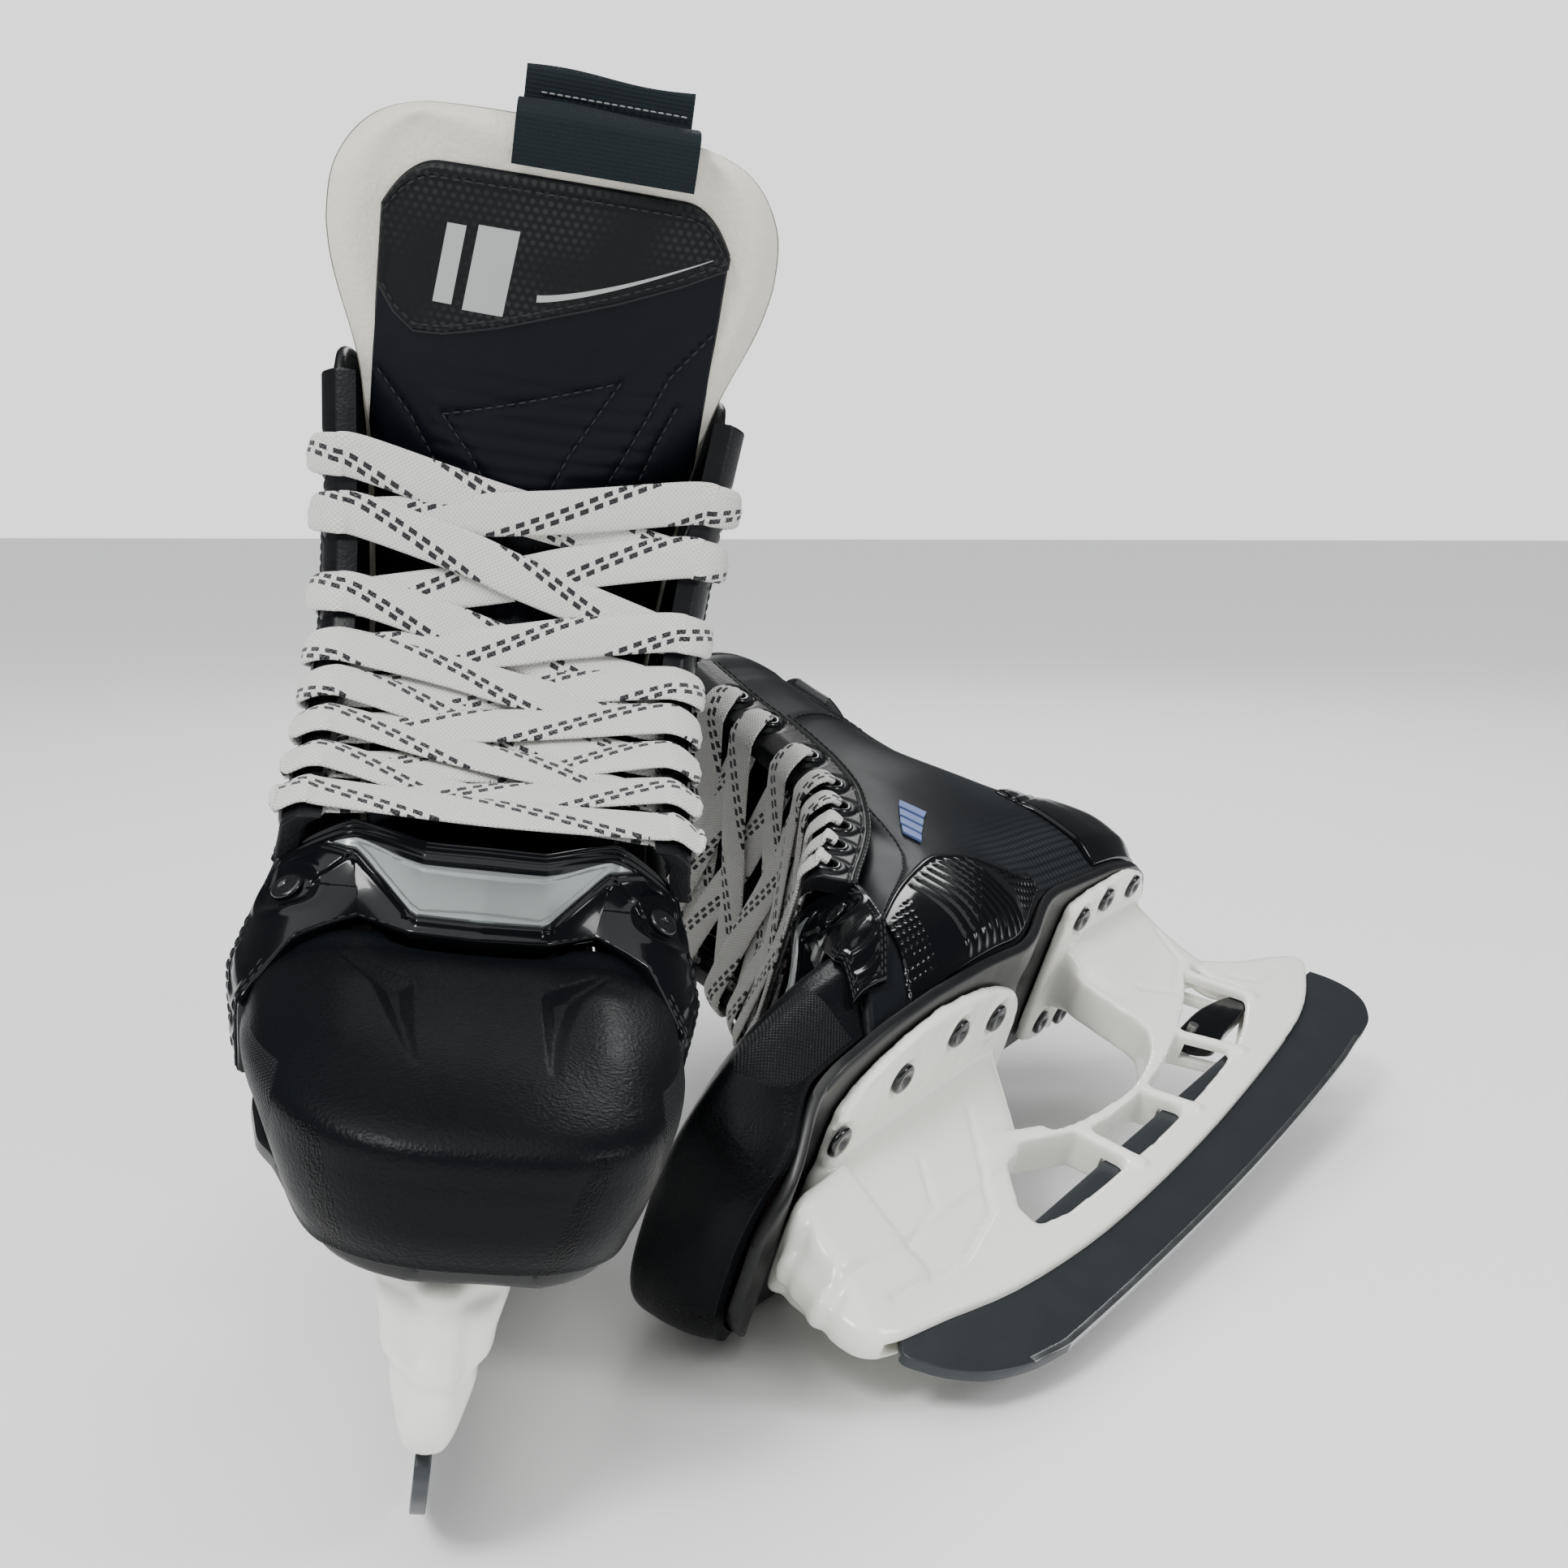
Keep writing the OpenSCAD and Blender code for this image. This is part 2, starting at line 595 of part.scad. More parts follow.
// Curved strip between the towers, with the ribs that tie it to the rail
module arch_outline() {
    polygon([[58, 54], [38, 47], [36, 43.5], [23.6, 40.4], [6, 38.6], [-9, 38.8], [-26, 42.4],
        [-37, 48], [-41, 54], [-50, 84], [-104, 84], [-100, 66], [-85, 57], [-63, 47.7],
        [-33, 39.5], [-8.5, 36.3], [8, 35.8], [25.8, 37.6], [48, 46], [62, 50]]);
    rib([27.5, 38], [24, 22]);
    rib([-8, 37.5], [-17, 23]);
    rib([-48, 44], [-62, 27]);
    rib([-88, 58], [-99, 38]);
}

module rib(high, low) {
    across = [2.2, 0];
    polygon([high + across, high - across, low - across, low + across]);
}

// Tapering block between the rail and a flange
module tower(low, high, low_w, high_w, low_z, high_z) {
    hull() {
        translate([low[0], -low_w / 2, low_z]) cube([low[1] - low[0], low_w, 1]);
        translate([high[0], -high_w / 2, high_z - 1]) cube([high[1] - high[0], high_w, 1]);
    }
}

slot_top = 30.5;
trigger_pivot = [-58, 41.5];
pin_r = 1.5;
trigger_slot_w = 5.6;

module holder() {
    color([0.9, 0.9, 0.86])
        difference() {
            union() {
                upright(rail_w) rail_outline();
                upright(arch_w) arch_outline();
                tower([50, 140], [20, 112], 11, 24, 45, 71);
                tower([112, 140], [106, 131], 11, 29, 34, 64);
                tower([-104, -43], [-106, -49], 13, 28, 60, 87);
                under_ball() translate([0, 0, -flange_t]) linear_extrude(flange_t)
                    polygon(front_flange);
                under_heel() translate([0, 0, -flange_t]) linear_extrude(flange_t)
                    polygon(rear_flange);
            }
            // slot for the runner, and a wider pocket for the trigger
            upright(runner_t + 2 * slot_gap) slot_outline();
            upright(trigger_slot_w)
                polygon([[-48, 20], [-50, 49], [-82, 49], [-85, 56.5], [-99, 56.5], [-104, 20]]);
            // pocket for the spring beside the trigger
            translate([trigger_pivot[0], -2.7, trigger_pivot[1]]) rotate([90, 0, 0])
                cylinder(h = 2.3, r = 3);
            // hollows inside the towers
            translate([40, -7, 58]) cube([70, 14, 30]);
            translate([-98, -9, 66]) cube([46, 18, 30]);
            translate([trigger_pivot[0], 0, trigger_pivot[1]]) rotate([90, 0, 0])
                cylinder(h = arch_w + 2, r = pin_r, center = true);
            // rivet holes
            for (p = front_rivets, side = [-1, 1])
                translate([p[0], side * p[1], 60]) cylinder(h = 20, r = 1.8);
            for (p = rear_rivets, side = [-1, 1])
                translate([p[0], side * p[1], 76]) cylinder(h = 20, r = 1.8);
        }
}

module slot_outline() {
    polygon([[142, 20], [138.5, slot_top], [120, slot_top + 4], [110, slot_top],
        [-96, slot_top], [-99, 40], [-119, 40], [-121, slot_top + 3], [-146, slot_top + 3],
        [-150, 0], [120, 0]]);
}

module holder_rivets() {
    color([0.08, 0.08, 0.085]) {
        for (p = front_rivets, side = [-1, 1])
            under_ball() translate([p[0], side * p[1], -flange_t]) rivet();
        for (p = rear_rivets, side = [-1, 1])
            under_heel() translate([p[0], side * p[1], -flange_t]) rivet();
    }
}

module rivet() {
    translate([0, 0, -1.2]) cylinder(h = 1.15, r = rivet_head_r);
    translate([0, 0, -0.2]) cylinder(h = flange_t + 0.1, r = 1.75);
}

// ---- Runner and its release --------------------------------------------------------------

function rocker(x) = rocker_r - sqrt(rocker_r * rocker_r - x * x);

module runner() {
    ground = [for (x = [100 : -12.5 : -100]) [x, rocker(x)]];
    toe = [[135.5, 27], [133.5, 21], [129.5, 15.5], [123, 10], [112.5, 5.3]];
    heel = [[-112, 3.6], [-124, 4.4], [-133, 5.6], [-140, 8.3], [-145, 11.5], [-148.2, 16],
        [-149, 21], [-148, 26.5], [-145.5, 32]];
    back = [[-118, 32.2], [-115.5, 38], [-108, 38], [-106.5, 34.5], [-109, 34.5],
        [-109, 29.5], [120, 29.5], [128, 32.5]];
    color([0.25, 0.27, 0.3]) upright(runner_t) polygon(concat(toe, ground, heel, back));
}

trigger_w = 5;
module trigger() {
    color([0.02, 0.02, 0.02])
        difference() {
            union() {
                upright(trigger_w) polygon([[-54, 38.5], [-54, 44.5], [-61, 45.5], [-78, 46],
                    [-96, 43], [-97.5, 38], [-90, 35.5], [-72, 34.5], [-62, 33], [-57, 35]]);
            }
            translate([trigger_pivot[0], 0, trigger_pivot[1]]) rotate([90, 0, 0])
                cylinder(h = trigger_w + 2, r = pin_r + 0.06, center = true);
        }
}

module trigger_pin() {
    color([0.6, 0.6, 0.62])
        translate([trigger_pivot[0], 0, trigger_pivot[1]]) rotate([90, 0, 0])
            cylinder(h = arch_w - 1, r = pin_r, center = true);
}

// Close-wound torsion spring round the pin, in the wall beside the trigger
module trigger_spring() {
    color([0.7, 0.7, 0.72])
        translate([trigger_pivot[0], 0, trigger_pivot[1]]) rotate([90, 0, 0])
            rotate_extrude() for (turn = [0 : 1]) translate([2.2, 3.4 + 0.9 * turn]) circle(r = 0.5);
}

// ---- Placing the two skates --------------------------------------------------------------

// The standing skate faces -Y. Its roll lowers the edge of the runner, so it is lifted by that.
right_turn = [-stand_lean, 0, -90];
right_place = [0, 0, runner_t / 2 * sin(stand_lean)];
left_turn = [lie_roll, 4.4, -134.3];
left_place = [215.4, -8.1, 16.33];
// The middle of the pair's bounding box, moved to the origin
pair_centre = [135.05, 41.84, 0];

module in_right() {
    translate(right_place - pair_centre) rotate(right_turn) mirror([0, 1, 0]) children();
}

module in_left() {
    translate(left_place - pair_centre) rotate(left_turn) children();
}

in_right() runner();  // right_runner
in_right() holder();  // right_holder
in_right() trigger();  // right_trigger
in_right() trigger_pin();  // right_trigger_pin
in_right() trigger_spring();  // right_trigger_spring
in_right() holder_rivets();  // right_holder_rivets
in_right() outsole();  // right_outsole
in_right() insole_board();  // right_insole_board
in_right() footbed();  // right_footbed
in_right() boot_shell();  // right_boot_shell
in_right() toe_liner();  // right_toe_liner
in_right() toe_cap();  // right_toe_cap
in_right() facemask();  // right_facemask
in_right() facemask_plate();  // right_facemask_plate
in_right() facemask_rivets();  // right_facemask_rivets
in_right() side_panel_outer();  // right_side_panel_outer
in_right() side_panel_inner();  // right_side_panel_inner
in_right() eyestay_outer();  // right_eyestay_outer
in_right() eyestay_inner();  // right_eyestay_inner
in_right() eyelets();  // right_eyelets
in_right() heel_counter();  // right_heel_counter
in_right() tendon_guard();  // right_tendon_guard
in_right() collar_pad();  // right_collar_pad
in_right() tongue_base();  // right_tongue_base
in_right() tongue_felt();  // right_tongue_felt
in_right() tongue_face();  // right_tongue_face
in_right() tongue_panel();  // right_tongue_panel
in_right() tongue_label();  // right_tongue_label
in_right() lace();  // right_lace
in_left() runner();  // left_runner
in_left() holder();  // left_holder
in_left() trigger();  // left_trigger
in_left() trigger_pin();  // left_trigger_pin
in_left() trigger_spring();  // left_trigger_spring
in_left() holder_rivets();  // left_holder_rivets
in_left() outsole();  // left_outsole
in_left() insole_board();  // left_insole_board
in_left() footbed();  // left_footbed
in_left() boot_shell();  // left_boot_shell
in_left() toe_liner();  // left_toe_liner
in_left() toe_cap();  // left_toe_cap
in_left() facemask();  // left_facemask
in_left() facemask_plate();  // left_facemask_plate
in_left() facemask_rivets();  // left_facemask_rivets
in_left() side_panel_outer();  // left_side_panel_outer
in_left() side_panel_inner();  // left_side_panel_inner
in_left() eyestay_outer();  // left_eyestay_outer
in_left() eyestay_inner();  // left_eyestay_inner
in_left() eyelets();  // left_eyelets
in_left() heel_counter();  // left_heel_counter
in_left() tendon_guard();  // left_tendon_guard
in_left() collar_pad();  // left_collar_pad
in_left() tongue_base();  // left_tongue_base
in_left() tongue_felt();  // left_tongue_felt
in_left() tongue_face();  // left_tongue_face
in_left() tongue_panel();  // left_tongue_panel
in_left() tongue_label();  // left_tongue_label
in_left() lace();  // left_lace
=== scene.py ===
import math
import bpy
import bmesh
import numpy as np
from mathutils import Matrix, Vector


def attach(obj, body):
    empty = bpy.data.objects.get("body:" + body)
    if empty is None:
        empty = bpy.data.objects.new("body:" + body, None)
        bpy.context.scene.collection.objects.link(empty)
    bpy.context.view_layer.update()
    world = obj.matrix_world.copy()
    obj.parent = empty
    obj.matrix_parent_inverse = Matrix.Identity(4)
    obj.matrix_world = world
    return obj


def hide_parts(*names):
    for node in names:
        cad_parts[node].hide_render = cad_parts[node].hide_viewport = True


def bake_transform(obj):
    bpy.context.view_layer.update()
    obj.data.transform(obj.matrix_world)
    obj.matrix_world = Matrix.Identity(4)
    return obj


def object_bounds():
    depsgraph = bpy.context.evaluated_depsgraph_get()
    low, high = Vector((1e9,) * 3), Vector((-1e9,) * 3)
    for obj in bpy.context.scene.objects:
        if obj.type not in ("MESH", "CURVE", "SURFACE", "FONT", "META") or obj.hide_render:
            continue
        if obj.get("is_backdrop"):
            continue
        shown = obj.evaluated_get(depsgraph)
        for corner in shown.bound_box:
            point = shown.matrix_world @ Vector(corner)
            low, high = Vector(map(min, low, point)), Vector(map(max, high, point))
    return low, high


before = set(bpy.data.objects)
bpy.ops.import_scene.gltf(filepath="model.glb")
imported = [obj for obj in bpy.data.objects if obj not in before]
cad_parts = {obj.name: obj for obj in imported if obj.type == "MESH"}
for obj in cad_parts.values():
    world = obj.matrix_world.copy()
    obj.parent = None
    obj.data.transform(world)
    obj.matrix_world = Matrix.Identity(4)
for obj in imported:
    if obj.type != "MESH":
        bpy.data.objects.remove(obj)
cad_box = [list(v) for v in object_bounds()]

# ---- Camera --------------------------------------------------------------------------------

camera_data = bpy.data.cameras.new("camera")
camera_data.lens = 38.756
camera_data.sensor_width = 36
camera_data.clip_start = 0.01
camera = bpy.data.objects.new("camera", camera_data)
camera.location = (-0.11112, -0.46595, 0.19540)
camera.rotation_euler = [math.radians(a) for a in (81.2129, -0.1743, -8.8731)]
bpy.context.scene.collection.objects.link(camera)
bpy.context.scene.camera = camera

# ---- The two skates ------------------------------------------------------------------------
# Every piece is made once in the frame of one skate, in millimetres: x to the toe, y to the
# outer side of the foot, z up from the runner's ground edge.


def turn(axis, degrees):
    c, s = math.cos(math.radians(degrees)), math.sin(math.radians(degrees))
    return np.array({"x": [[1, 0, 0], [0, c, -s], [0, s, c]],
                     "y": [[c, 0, s], [0, 1, 0], [-s, 0, c]],
                     "z": [[c, -s, 0], [s, c, 0], [0, 0, 1]]}[axis], float)


PAIR_CENTRE = np.array([135.05, 41.84, 0.0])


class Skate:
    def __init__(self, side, rotation, place):
        self.side = side
        self.mirror = side == "right"
        self.rotation = rotation
        self.place = np.array(place, float) - PAIR_CENTRE

    def put(self, points):
        p = np.array(points, float).reshape(-1, 3)
        if self.mirror:
            p = p * [1, -1, 1]
        return (p @ self.rotation.T + self.place) / 1000

    def node(self, name):
        return self.side + "_" + name


SKATES = [
    Skate("right", turn("z", -90) @ turn("x", -7.5),
          (0, 0, 1.5 * math.sin(math.radians(7.5)))),
    Skate("left", turn("z", -134.3) @ turn("y", 4.4) @ turn("x", 68.1), (215.4, -8.1, 16.33)),
]

# ---- Materials -----------------------------------------------------------------------------


class Value:
    """A number socket of a material. Arithmetic on it adds Math nodes."""

    def __init__(self, paint, socket):
        self.paint = paint
        self.socket = socket

    def __add__(self, other):
        return self.paint.math("ADD", self, other)

    def __sub__(self, other):
        return self.paint.math("SUBTRACT", self, other)

    def __rsub__(self, other):
        return self.paint.math("SUBTRACT", other, self)

    def __mul__(self, other):
        return self.paint.math("MULTIPLY", self, other)

    def __truediv__(self, other):
        return self.paint.math("DIVIDE", self, other)

    def __mod__(self, other):
        return self.paint.math("FLOORED_MODULO", self, other)

    def __lt__(self, other):
        return self.paint.math("LESS_THAN", self, other)

    def __gt__(self, other):
        return self.paint.math("GREATER_THAN", self, other)

    def __abs__(self):
        return self.paint.math("ABSOLUTE", self)

    def sine(self):
        return self.paint.math("SINE", self)

    def larger(self, other):
        return self.paint.math("MAXIMUM", self, other)


class Paint:
    """A Principled material with its colour, roughness and height built up in steps."""

    def __init__(self, name, colour, rough, metal=0.0, coat=0.0, coat_rough=0.05, sheen=0.0,
                 specular=0.5, subsurface=0.0):
        self.material = bpy.data.materials.new(name)
        self.material.use_nodes = True
        self.tree = self.material.node_tree
        self.bsdf = self.tree.nodes["Principled BSDF"]
        self.base = (*colour, 1)
        self.set("Base Color", self.base)
        self.set("Roughness", rough)
        self.set("Metallic", metal)
        self.set("Coat Weight", coat)
        self.set("Coat Roughness", coat_rough)
        self.set("Sheen Weight", sheen)
        self.set("Specular IOR Level", specular)
        if subsurface:
            self.set("Subsurface Weight", subsurface)
            self.set("Subsurface Radius", (1, 0.95, 0.85))
            self.set("Subsurface Scale", 0.002)
        self.colour = None
        self.height = None

    def set(self, socket, value):
        self.bsdf.inputs[socket].default_value = value

    def node(self, kind, **values):
        node = self.tree.nodes.new("ShaderNode" + kind)
        for key, value in values.items():
            if key in node.inputs:
                node.inputs[key].default_value = value
            else:
                setattr(node, key, value)
        return node

    def link(self, source, target):
        if isinstance(source, Value):
            source = source.socket
        self.tree.links.new(source, target)

    def math(self, operation, *values):
        node = self.node("Math", operation=operation)
        for value, socket in zip(values, node.inputs):
            if isinstance(value, Value):
                self.link(value, socket)
            else:
                socket.default_value = value
        return Value(self, node.outputs[0])

    def uv(self, name):
        """The two coordinates of one UV map, in millimetres."""
        split = self.node("SeparateXYZ")
        self.link(self.node("UVMap", uv_map=name).outputs[0], split.inputs[0])
        return [Value(self, split.outputs[axis]) * UV_MM for axis in (0, 1)]

    def noise(self, scale, detail=2.0, rough=0.5, stretch=None):
        node = self.node("TexNoise", Scale=scale, Detail=detail, Roughness=rough)
        source = self.node("TexCoord").outputs["Object"]
        if stretch:
            mapping = self.node("Mapping", Scale=stretch)
            self.link(source, mapping.inputs[0])
            source = mapping.outputs[0]
        self.link(source, node.inputs["Vector"])
        return Value(self, node.outputs["Fac"])

    def cells(self, scale, feature="F1"):
        node = self.node("TexVoronoi", Scale=scale, feature=feature)
        self.link(self.node("TexCoord").outputs["Object"], node.inputs["Vector"])
        return Value(self, node.outputs["Distance"])

    def ramp(self, value, low, high):
        """Rises smoothly from 0 at low to 1 at high."""
        node = self.node("MapRange", interpolation_type="SMOOTHSTEP")
        node.inputs["From Min"].default_value = low
        node.inputs["From Max"].default_value = high
        self.link(value, node.inputs["Value"])
        return Value(self, node.outputs["Result"])

    def tint(self, factor, colour):
        """Mixes a colour over what is there, by a factor."""
        mix = self.node("Mix", data_type="RGBA")
        under, over, result = mix.inputs[6], mix.inputs[7], mix.outputs[2]
        self.link(factor, mix.inputs[0])
        if self.colour is None:
            under.default_value = self.base
        else:
            self.link(self.colour, under)
        over.default_value = (*colour, 1)
        self.colour = result
        self.link(result, self.bsdf.inputs["Base Color"])

    def rough(self, factor, low, high):
        """Roughness from low to high, by a factor."""
        node = self.node("MapRange")
        node.inputs["To Min"].default_value = low
        node.inputs["To Max"].default_value = high
        self.link(factor, node.inputs["Value"])
        self.link(node.outputs["Result"], self.bsdf.inputs["Roughness"])

    def bump(self, value, depth):
        """Adds height: value 0 to 1 stands for depth in millimetres."""
        height = value * (depth / 1000)
        self.height = height if self.height is None else self.height + height

    def done(self):
        bump = self.node("Bump", Distance=1.0, Strength=1.0)
        self.link(self.height, bump.inputs["Height"])
        self.link(bump.outputs[0], self.bsdf.inputs["Normal"])
        return self.material


# UV maps hold tenths of a metre, so that they stay near the size of an image
UV_MM = 100.0


def steel():
    p = Paint("runner_steel", (0.036, 0.041, 0.046), 0.36, metal=0.5, specular=0.4)
    p.bump(p.noise(420, 3, stretch=(1, 1, 0.12)), 0.012)
    p.rough(p.noise(130, 4), 0.27, 0.46)
    p.tint(p.noise(60, 4) * 0.35, (0.048, 0.054, 0.060))
    return p.done()


def ground_steel():
    p = Paint("ground_steel", (0.42, 0.44, 0.45), 0.3, metal=1.0)
    p.bump(p.noise(900, 2, stretch=(0.1, 0.1, 1)), 0.01)
    p.rough(p.noise(200, 3), 0.2, 0.4)
    return p.done()


def nylon():
    p = Paint("holder_nylon", (0.87, 0.865, 0.80), 0.24, coat=0.35, coat_rough=0.12,
              subsurface=0.12)
    p.bump(p.noise(260, 2), 0.02)
    p.tint(p.noise(22, 3) * 0.22, (0.80, 0.80, 0.74))
    p.rough(p.noise(80, 3), 0.18, 0.32)
    return p.done()


def gloss_black():
    p = Paint("gloss_black", (0.0028, 0.0034, 0.0044), 0.2, coat=0.2, specular=0.2)
    p.set("IOR", 1.4)
    p.bump(p.noise(180, 2), 0.02)
    p.rough(p.noise(70, 4), 0.12, 0.26)
    return p.done()


def pebble():
    p = Paint("toe_plastic", (0.0035, 0.0043, 0.0054), 0.4, specular=0.2)
    x, z = p.uv("flat")
    y, _ = p.uv("side")
    p.bump(p.cells(1400, "SMOOTH_F1"), 0.08)
    p.bump(p.noise(1900, 2), 0.06)
    p.set("IOR", 1.32)
    p.rough(p.noise(300, 3), 0.32, 0.42)
    # two bands of finer texture down the front that close in towards the sole
    top, half_width, front = 92.0, 2.1, 118.0
    bands = None
    for at_top, slant in ((-26.0, 0.36), (26.5, -0.33)):
        middle = (top - z) * slant + at_top
        band = (abs(y - middle) < half_width) * (z < top - 1) * (x > front)
        bands = band if bands is None else bands.larger(band)
    p.bump(bands * p.cells(1900), 0.16)
    p.tint(bands * 0.8, (0.0012, 0.0015, 0.002))
    # patch of small lozenges on each flank
    turns, slope = 2.6, 1.15
    lozenges = (abs(((x + z * slope) * turns).sine())
                * abs(((x - z * slope) * turns).sine()))
    flank = p.ramp(abs(y + 1.5), 34.5, 35.5)
    flank = flank * (z < 96.0) * (z > 79.0) * (x > 99.0) * (x < 134.0)
    p.bump(flank * lozenges, 0.35)
    p.tint(flank * 0.5, (0.018, 0.020, 0.022))
    return p.done()


def quarter():
    p = Paint("quarter", (0.0085, 0.010, 0.0115), 0.4, specular=0.3)
    p.set("IOR", 1.2)
    x, z = p.uv("flat")
    rearwards, down = x * -1.0, z * -1.0
    p.bump(p.noise(700, 2), 0.02)
    p.rough(p.noise(90, 3), 0.34, 0.44)
    p.tint(p.noise(30, 3) * 0.25, (0.014, 0.016, 0.018))
    # fading print of fine upright lines towards the heel and under the ankle
    print_colour = (0.034, 0.038, 0.041)
    lines = abs(((x + z * -0.35) * 1.15).sine())
    fade = (p.ramp(rearwards, 40.0, 62.0) * p.ramp(z, 118.0, 138.0)
            * p.ramp(down, -182.0, -160.0))
    p.tint(lines * fade * 0.55, print_colour)
    # and of a fine check lower down
    check = abs((x * 1.3).sine()) * abs((z * 1.3).sine())
    low = p.ramp(rearwards, 5.0, 25.0) * p.ramp(down, -128.0, -108.0)
    p.tint(check * low * 0.7, print_colour)
    return p.done()


def synthetic():
    p = Paint("eyestay_synthetic", (0.004, 0.0046, 0.0056), 0.4, specular=0.24)
    p.bump(p.cells(1500, "SMOOTH_F1"), 0.05)
    p.bump(p.noise(450, 3), 0.05)
    p.rough(p.noise(150, 3), 0.33, 0.48)
    return p.done()


def tongue_cloth():
    p = Paint("tongue_synthetic", (0.0022, 0.0032, 0.0062), 0.6, specular=0.13)
    p.bump(p.noise(1400, 3), 0.05)
    p.bump(p.cells(2200, "SMOOTH_F1"), 0.04)
    p.rough(p.noise(120, 3), 0.42, 0.6)
    return p.done()


def felt():
    p = Paint("wool_felt", (0.80, 0.775, 0.67), 1.0, sheen=0.5, specular=0.15)
    p.bump(p.noise(520, 6, 0.7), 0.7)
    p.bump(p.noise(1700, 4, 0.7, stretch=(1, 1, 0.3)), 0.3)
    p.tint(p.noise(160, 5, 0.7) * 0.5, (0.69, 0.66, 0.555))
    p.tint(p.ramp(p.noise(900, 5, 0.8), 0.45, 0.75) * 0.5, (0.87, 0.85, 0.76))
    return p.done()


def lace_cloth():
    p = Paint("lace_weave", (0.79, 0.78, 0.745), 0.95, sheen=0.4, specular=0.2)
    across, along = p.uv("weave")
    # braid: two families of slanting strands
    turns, slope = 5.6, 0.9
    weave = ((along + across * slope) * turns).sine().larger(
        ((along - across * slope) * turns).sine())
    weave = p.ramp(weave, -0.2, 1.0)
    p.bump(weave, 0.34)
    p.bump(p.noise(1500, 4), 0.12)
    # the low parts between the strands are painted grey: painted shade in the hollows of the braid
    p.tint((1.0 - weave) * 0.55, (0.46, 0.45, 0.41))
    # pairs of dark flecks that cross the width on a slant, then start again
    slant, travel = 0.27, 12.4
    pitch, length, half_width, spread = 3.7, 2.2, 0.62, 0.95
    middle = along * slant % travel - travel / 2
    flecks = None
    for shift, start in ((-spread, 0.0), (spread, 1.1)):
        across_it = abs(across - (middle + shift)) < half_width
        fleck = across_it * ((along + start) % pitch < length)
        flecks = fleck if flecks is None else flecks.larger(fleck)
    p.tint(flecks, (0.008, 0.009, 0.012))
    return p.done()


def panel_print():
    p = Paint("panel_print", (0.0062, 0.007, 0.0078), 0.5, specular=0.12)
    x, z = p.uv("face")
    # rows of small dots, offset like a honeycomb, that come and go in patches
    pitch = 2.1
    row_height = pitch * 0.866
    odd = p.math("FLOOR", z / row_height) % 2.0
    dot_x = (x + odd * (pitch / 2)) % pitch - pitch / 2
    dot_z = z % row_height - row_height / 2
    radius = p.math("SQRT", dot_x * dot_x + dot_z * dot_z)
    dots = 1.0 - p.ramp(radius, 0.45, 0.75)
    patches = p.ramp(p.noise(28, 2), 0.38, 0.62)
    p.tint(dots * patches * 0.9, (0.021, 0.023, 0.024))
    p.bump(dots, 0.05)
    p.bump(p.noise(900, 3), 0.03)
    return p.done()


def ribbon():
    p = Paint("label_ribbon", (0.0045, 0.009, 0.0115), 0.8, specular=0.2)
    across, along = p.uv("weave")
    weave = abs((across * 5.2).sine()) * abs((along * 3.2).sine())
    p.bump(weave, 0.12)
    # the raised crossings of the weave are painted lighter: painted sheen on the threads
    p.tint(weave * 0.4, (0.011, 0.019, 0.023))
    return p.done()


def lining():
    p = Paint("lining", (0.02, 0.022, 0.025), 0.9, sheen=0.5)
    p.bump(p.cells(1300), 0.25)
    p.bump(p.noise(500, 4), 0.15)
    p.tint(p.noise(240, 4) * 0.4, (0.04, 0.043, 0.047))
    return p.done()


def plate():
    p = Paint("silver_plate", (0.21, 0.23, 0.227), 0.3, metal=0.5)
    p.bump(p.noise(1200, 3), 0.015)
    p.rough(p.noise(60, 3), 0.22, 0.4)
    return p.done()


def simple(name, colour, rough, metal=0.0, scale=700.0, depth=0.03, coat=0.0):
    p = Paint(name, colour, rough, metal=metal, coat=coat)
    p.bump(p.noise(scale, 3), depth)
    p.rough(p.noise(120, 3), rough - 0.07, rough + 0.08)
    return p.done()


M = {
    "steel": steel(), "edge": ground_steel(), "nylon": nylon(), "gloss": gloss_black(),
    "pebble": pebble(), "quarter": quarter(), "stay": synthetic(), "tongue": tongue_cloth(),
    "felt": felt(), "lace": lace_cloth(), "panel": panel_print(), "ribbon": ribbon(),
    "lining": lining(), "plate": plate(),
    "rivet": simple("rivet_dark", (0.02, 0.021, 0.023), 0.22, metal=0.6, coat=0.5),
    "pin": simple("pin_steel", (0.5, 0.5, 0.51), 0.3, metal=1.0),
    "board": simple("board", (0.12, 0.085, 0.05), 0.8, depth=0.1),
    "foam": simple("footbed_cloth", (0.03, 0.034, 0.04), 0.9, scale=900, depth=0.2),
    "sole": simple("sole_composite", (0.0035, 0.004, 0.0047), 0.42, coat=0.05, scale=240),
    "thread": simple("thread", (0.009, 0.0105, 0.013), 0.8, scale=2500, depth=0.1),
    "thread_pale": simple("thread_pale", (0.25, 0.26, 0.26), 0.8, scale=2500, depth=0.1),
    "silver": simple("silver_print", (0.34, 0.355, 0.35), 0.35, metal=0.5),
    "guard": simple("guard_plastic", (0.005, 0.0058, 0.007), 0.42, depth=0.05),
    "mark": simple("blue_print", (0.10, 0.15, 0.34), 0.55),
}

# ---- Mesh making ---------------------------------------------------------------------------


